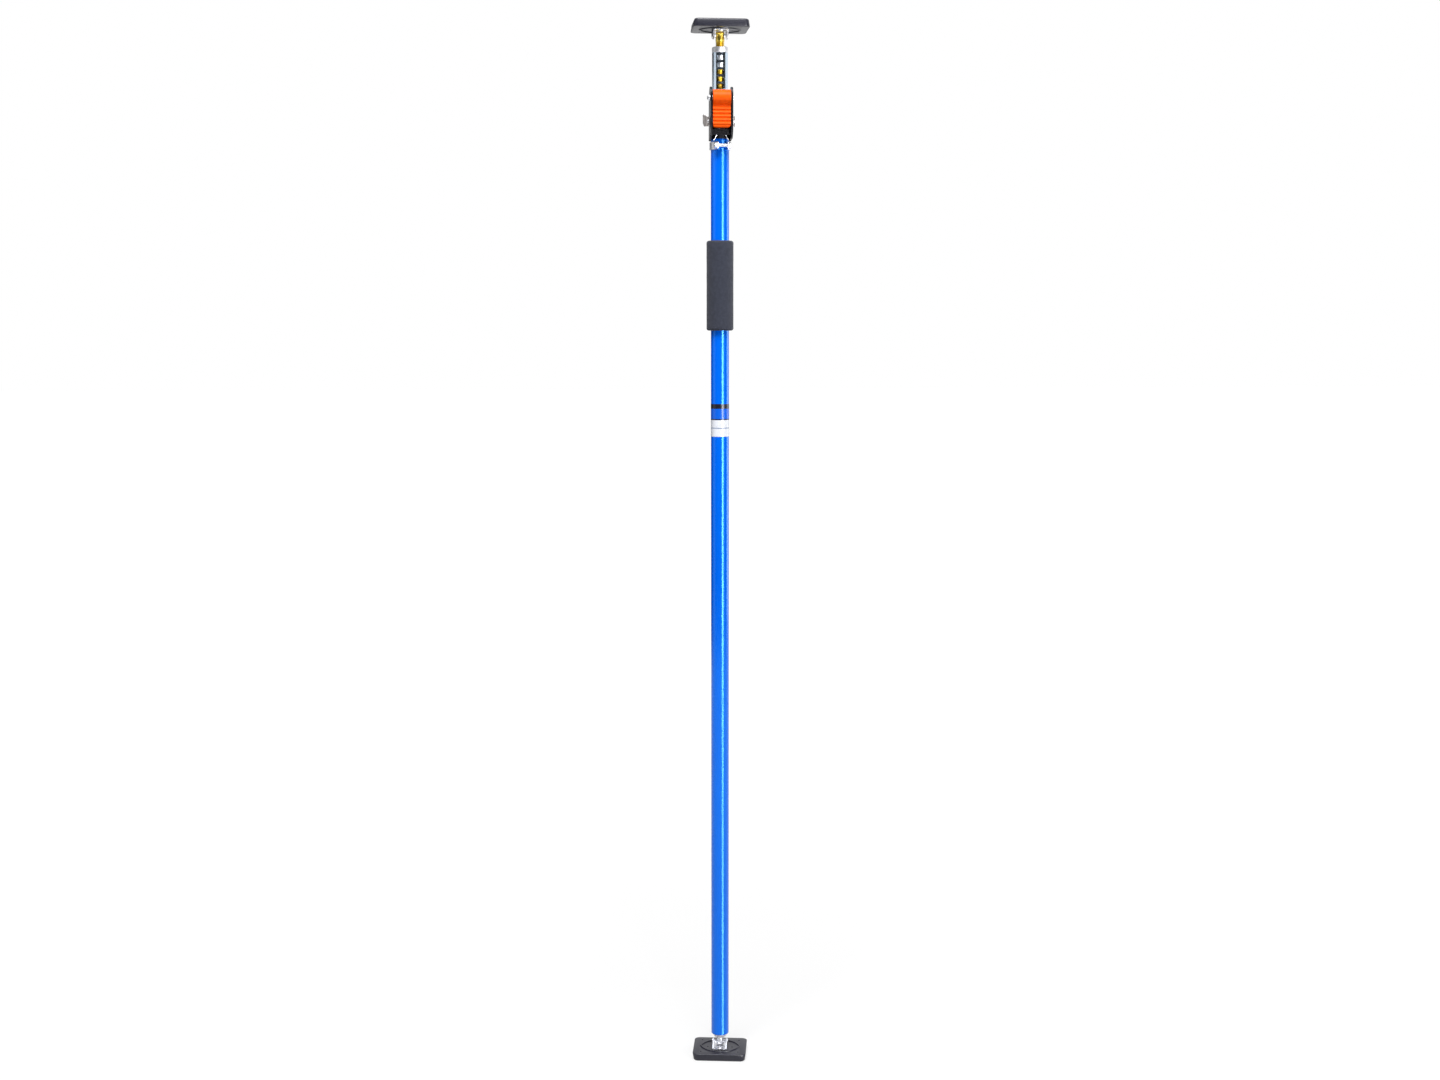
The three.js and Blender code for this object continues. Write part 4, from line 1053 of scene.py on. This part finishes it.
def make_spring():
    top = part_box("latch_spring")[1].z - 0.8 * MM
    foot = TUBE_HIGH.z - 2.7 * MM
    half = [
        (10 * MM, -15.4 * MM, foot), (7 * MM, -15.8 * MM, foot + 5 * MM),
        (4.2 * MM, -16.2 * MM, top - MM), (3.2 * MM, -16.2 * MM, top),
    ]
    route = [(-x, y, z) for x, y, z in half] + half[::-1]
    build("wire_spring", swept(route, WIRE_RADIUS), "pole", ZINC, ["latch_spring"])


make_outer_tube()
make_inner_tube()
make_grip()
make_screw()
make_nut()
for end, body, place in (("foot", "foot", FOOT_PLACE), ("top", "head", HEAD_PLACE)):
    make_pad(end, body, place)
    make_cross_pin(end, body, place)
    make_rivets(end, body, place)
make_plug()
make_stud()
make_handle_grip()
make_pivot_pin()
make_plain_pin("turned_latch_shaft", "latch_shaft", "latch", SHAFT_RADIUS, SHAFT_EASE, inner=2.1 * MM)
make_plain_pin("turned_pawl_pin", "drive_pawl_pin", "handle", PAWL_PIN_RADIUS, PAWL_PIN_EASE, inner=1.3 * MM)
make_washers("pivot", PIVOT_RADIUS + FIT)
make_washers("latch", SHAFT_RADIUS + FIT)
make_clamp_bolt()
make_spring()


# Label: a thin film round the tube with plain bands
LABEL_HIGH = GRIP_LOW.z - 100.5 * MM
LABEL_LOW = LABEL_HIGH - 44.9 * MM
LABEL_GAP = 0.02 * MM
LABEL_THICK = 0.12 * MM
LABEL_WHITE = (0.8, 0.83, 0.9)
LABEL_RULE = (0.3, 0.36, 0.5)
LABEL_BLACK = (0.012, 0.012, 0.02)
LABEL_BLUE = (0.0, 0.12, 0.75)
BANDS = [(0.0, LABEL_WHITE), (0.245, LABEL_RULE), (0.275, LABEL_WHITE), (0.505, LABEL_BLACK),
         (0.54, LABEL_BLUE), (0.855, LABEL_BLACK)]


def label_material():
    """A film with bands that start at shares of its height."""
    material, nodes, links, shader = node_tree("label film")
    source = nodes.new("ShaderNodeTexCoord")
    split = nodes.new("ShaderNodeSeparateXYZ")
    links.new(source.outputs["Object"], split.inputs["Vector"])
    share = nodes.new("ShaderNodeMapRange")
    set_inputs(share, From_Min=LABEL_LOW, From_Max=LABEL_HIGH)
    links.new(split.outputs["Z"], share.inputs["Value"])
    links.new(ramp(nodes, links, share.outputs["Result"], BANDS, "CONSTANT"), shader.inputs["Base Color"])
    fine = noise(nodes, links, scale=even(700), detail=2)
    links.new(spread(nodes, links, fine, 0.26, 0.34), shader.inputs["Roughness"])
    bump(nodes, links, shader, [(fine, 0.02, 0.1 * MM)])
    return material


def make_label():
    inside = TUBE_RADIUS + LABEL_GAP
    outside = inside + LABEL_THICK
    profile = [(inside, LABEL_LOW), (outside, LABEL_LOW), (outside, LABEL_HIGH), (inside, LABEL_HIGH)]
    build("banded_label", turned(profile, TUBE_SIDES), "pole", ("white_plastic", label_material()))


make_label()


# Stage: floor, world, lamps, and dark screens and bright cards that paint reflections into the gloss, in
# metres
FLOOR_HALF = 30
FLOOR_WHITE = (0.25, 0.25, 0.25, 1)
FLOOR_GLOW_NEAR = 0.72
FLOOR_GLOW_FAR = 0.95
GLOW_START = 0.3
GLOW_END = 3.0
WORLD_FILL = 0.3
WHITE_LIGHT = (1, 1, 1, 1)
SCREEN_BLACK = (0.02, 0.02, 0.025, 1)
SCREEN_STEPS = 12
SCREEN_DISTANCE = 3.2
SCREEN_FOOT = -0.2
SCREEN_TOP = 2.9
SLOT_FOOT = 1.64
SLOT_TOP = 1.8
STRIP_START = 25
STRIP_END = 47
STRIP_DISTANCE = 2.7
STRIP_TOP = 1.68
PAINTED_HIGHLIGHT_GLOW = 11
ROD_SIDE = 0.06
FLOOR_LIFT = 4 * MM
MIDDLE = Vector((0, 0, HEAD_TOP / 2))
OVER_MIDDLE = MIDDLE + Vector((0, 0, 0.35))


def ray_kind(nodes, links, first, *others):
    """1 for the named kinds of ray."""
    path = nodes.new("ShaderNodeLightPath")
    value = path.outputs[first]
    for ray in others:
        either = nodes.new("ShaderNodeMath")
        either.operation = "MAXIMUM"
        links.new(value, either.inputs[0])
        links.new(path.outputs[ray], either.inputs[1])
        value = either.outputs[0]
    return value


def seen_directly(nodes, links):
    """Camera, mirror and glass rays all see the white surround."""
    return ray_kind(nodes, links, "Is Camera Ray", "Is Glossy Ray", "Is Transmission Ray")


def mixed(nodes, links, share, first, second, surface):
    """Shows the second shader for the share's rays and the first one for the rest."""
    mix = nodes.new("ShaderNodeMixShader")
    links.new(share, mix.inputs[0])
    links.new(first, mix.inputs[1])
    links.new(second, mix.inputs[2])
    links.new(mix.outputs[0], surface)


def make_floor():
    half = FLOOR_HALF
    corners = [(-half, -half, 0), (half, -half, 0), (half, half, 0), (-half, half, 0)]
    floor = link("floor", mesh_of("floor", (corners, [(0, 1, 2, 3)])))
    material, nodes, links, shader = node_tree("floor white")
    set_inputs(shader, Base_Color=FLOOR_WHITE, Roughness=0.9, Specular_IOR_Level=0)
    set_inputs(shader, Emission_Color=WHITE_LIGHT)
    source = nodes.new("ShaderNodeTexCoord")
    away = nodes.new("ShaderNodeVectorMath")
    away.operation = "LENGTH"
    links.new(source.outputs["Object"], away.inputs[0])
    level = nodes.new("ShaderNodeMapRange")
    set_inputs(level, From_Min=GLOW_START, From_Max=GLOW_END, To_Min=FLOOR_GLOW_NEAR, To_Max=FLOOR_GLOW_FAR)
    links.new(away.outputs["Value"], level.inputs["Value"])
    glow = nodes.new("ShaderNodeMath")
    glow.operation = "MULTIPLY"
    links.new(seen_directly(nodes, links), glow.inputs[0])
    links.new(level.outputs["Result"], glow.inputs[1])
    links.new(glow.outputs[0], shader.inputs["Emission Strength"])
    floor.data.materials.append(material)


def background(nodes, strength):
    node = nodes.new("ShaderNodeBackground")
    set_inputs(node, Color=WHITE_LIGHT, Strength=strength)
    return node.outputs[0]


def make_world():
    world = bpy.data.worlds.new("studio")
    bpy.context.scene.world = world
    world.use_nodes = True
    nodes, links = world.node_tree.nodes, world.node_tree.links
    nodes.clear()
    surface = nodes.new("ShaderNodeOutputWorld").inputs["Surface"]
    seen, lit = background(nodes, 1), background(nodes, WORLD_FILL)
    mixed(nodes, links, seen_directly(nodes, links), lit, seen, surface)


def around(angle, distance, height):
    """A place at an angle to the right of the camera, as the rod sees it."""
    turn = radians(angle) - CAMERA_YAW
    return Vector((distance * sin(turn), -distance * cos(turn), height))


def painted_reflection(name, shape, **look):
    """A surface that only mirror rays see: a painted reflection that shapes the gloss and lights nothing."""
    piece = link(name, mesh_of(name, shape))
    material, nodes, links, shader = node_tree(name)
    set_inputs(shader, **look)
    clear = nodes.new("ShaderNodeBsdfTransparent").outputs[0]
    surface = nodes["Material Output"].inputs["Surface"]
    mixed(nodes, links, ray_kind(nodes, links, "Is Glossy Ray"), clear, shader.outputs[0], surface)
    piece.data.materials.append(material)


def make_screen(name, start, end, low, high):
    """A dark curved screen between two angles to the right of the camera: a painted dark reflection that
    only the gloss shows.
    """
    verts = []
    for i in range(SCREEN_STEPS + 1):
        angle = start + (end - start) * i / SCREEN_STEPS
        verts += [around(angle, SCREEN_DISTANCE, low), around(angle, SCREEN_DISTANCE, high)]
    faces = [(2 * i, 2 * i + 2, 2 * i + 3, 2 * i + 1) for i in range(SCREEN_STEPS)]
    painted_reflection(name, (verts, faces), Base_Color=SCREEN_BLACK, Specular_IOR_Level=0)


def make_card(name, near, far):
    """A bright strip between two (distance, height) edges: a glowing card that only the gloss sees, a
    painted highlight that lights nothing.
    """
    spots = ((STRIP_START, near), (STRIP_END, near), (STRIP_END, far), (STRIP_START, far))
    corners = [around(angle, *edge) for angle, edge in spots]
    painted_reflection(name, (corners, [(0, 1, 2, 3)]), Emission_Color=WHITE_LIGHT, Emission_Strength=PAINTED_HIGHLIGHT_GLOW)


def add_area(name, place, target, width, length, power):
    light = bpy.data.lights.new(name, "AREA")
    light.shape = "RECTANGLE"
    light.size = width
    light.size_y = length
    light.energy = power
    lamp = link(name, light)
    lamp.location = place
    lamp.rotation_euler = (target - place).to_track_quat("-Z", "Y").to_euler()


make_floor()
make_world()
# Dark screens: painted dark reflections in the gloss, which cast no shade
make_screen("dark_front", start=-40, end=24, low=SCREEN_FOOT, high=SCREEN_TOP)
make_screen("dark_low", start=-165, end=-40, low=SCREEN_FOOT, high=SLOT_FOOT)
make_screen("dark_high", start=-165, end=-40, low=SLOT_TOP, high=SCREEN_TOP)
make_screen("dark_gap", start=60, end=88, low=SCREEN_FOOT, high=SCREEN_TOP)
# Painted highlights: the standing strip puts the highlight on the tube, and the strip on the floor is a
# painted reflection that carries it down to the tube's foot
make_card("painted_highlight_card", near=(STRIP_DISTANCE, 0), far=(STRIP_DISTANCE, STRIP_TOP))
make_card("painted_highlight_on_floor", near=(ROD_SIDE, FLOOR_LIFT), far=(STRIP_DISTANCE, FLOOR_LIFT))
add_area("soft_front", around(angle=33, distance=2.6, height=0.8), MIDDLE, width=0.8, length=1.4, power=28)
add_area("soft_right", around(angle=112, distance=2.6, height=0.85), MIDDLE, width=1.2, length=1.3, power=14)
add_area("soft_left", around(angle=-80, distance=2.8, height=1.2), MIDDLE, width=1.8, length=2.4, power=9)
add_area("overhead", around(angle=-8, distance=1.3, height=3.4), OVER_MIDDLE, width=1.4, length=1, power=108)


# Camera: the pitch and lens put the rod's two ends on the photograph's rows
SENSOR_WIDTH = 36
HALVINGS = 60


def make_camera():
    near = CAMERA_DISTANCE + PAD_LOW.y
    rise = atan2(HEAD_TOP - CAMERA_HEIGHT, near)
    drop = atan2(CAMERA_HEIGHT, near)
    centre = PHOTO_HEIGHT / 2 + CAMERA_SHIFT * PHOTO_WIDTH
    above = centre - TOP_ROW
    below = FLOOR_ROW - centre
    low, high = 0.0, drop
    for _ in range(HALVINGS):
        pitch = (low + high) / 2
        if tan(rise + pitch) / tan(drop - pitch) < above / below:
            low = pitch
        else:
            high = pitch
    focal = above / tan(rise + pitch)
    data = bpy.data.cameras.new("camera")
    data.sensor_fit = "HORIZONTAL"
    data.sensor_width = SENSOR_WIDTH
    data.lens = focal * SENSOR_WIDTH / PHOTO_WIDTH
    data.shift_y = CAMERA_SHIFT
    camera = link("camera", data)
    camera.location = around(0, CAMERA_DISTANCE, CAMERA_HEIGHT)
    camera.rotation_euler = (pi / 2 - pitch, 0, -CAMERA_YAW)
    bpy.context.scene.camera = camera


make_camera()
bpy.context.scene.view_settings.view_transform = "Standard"
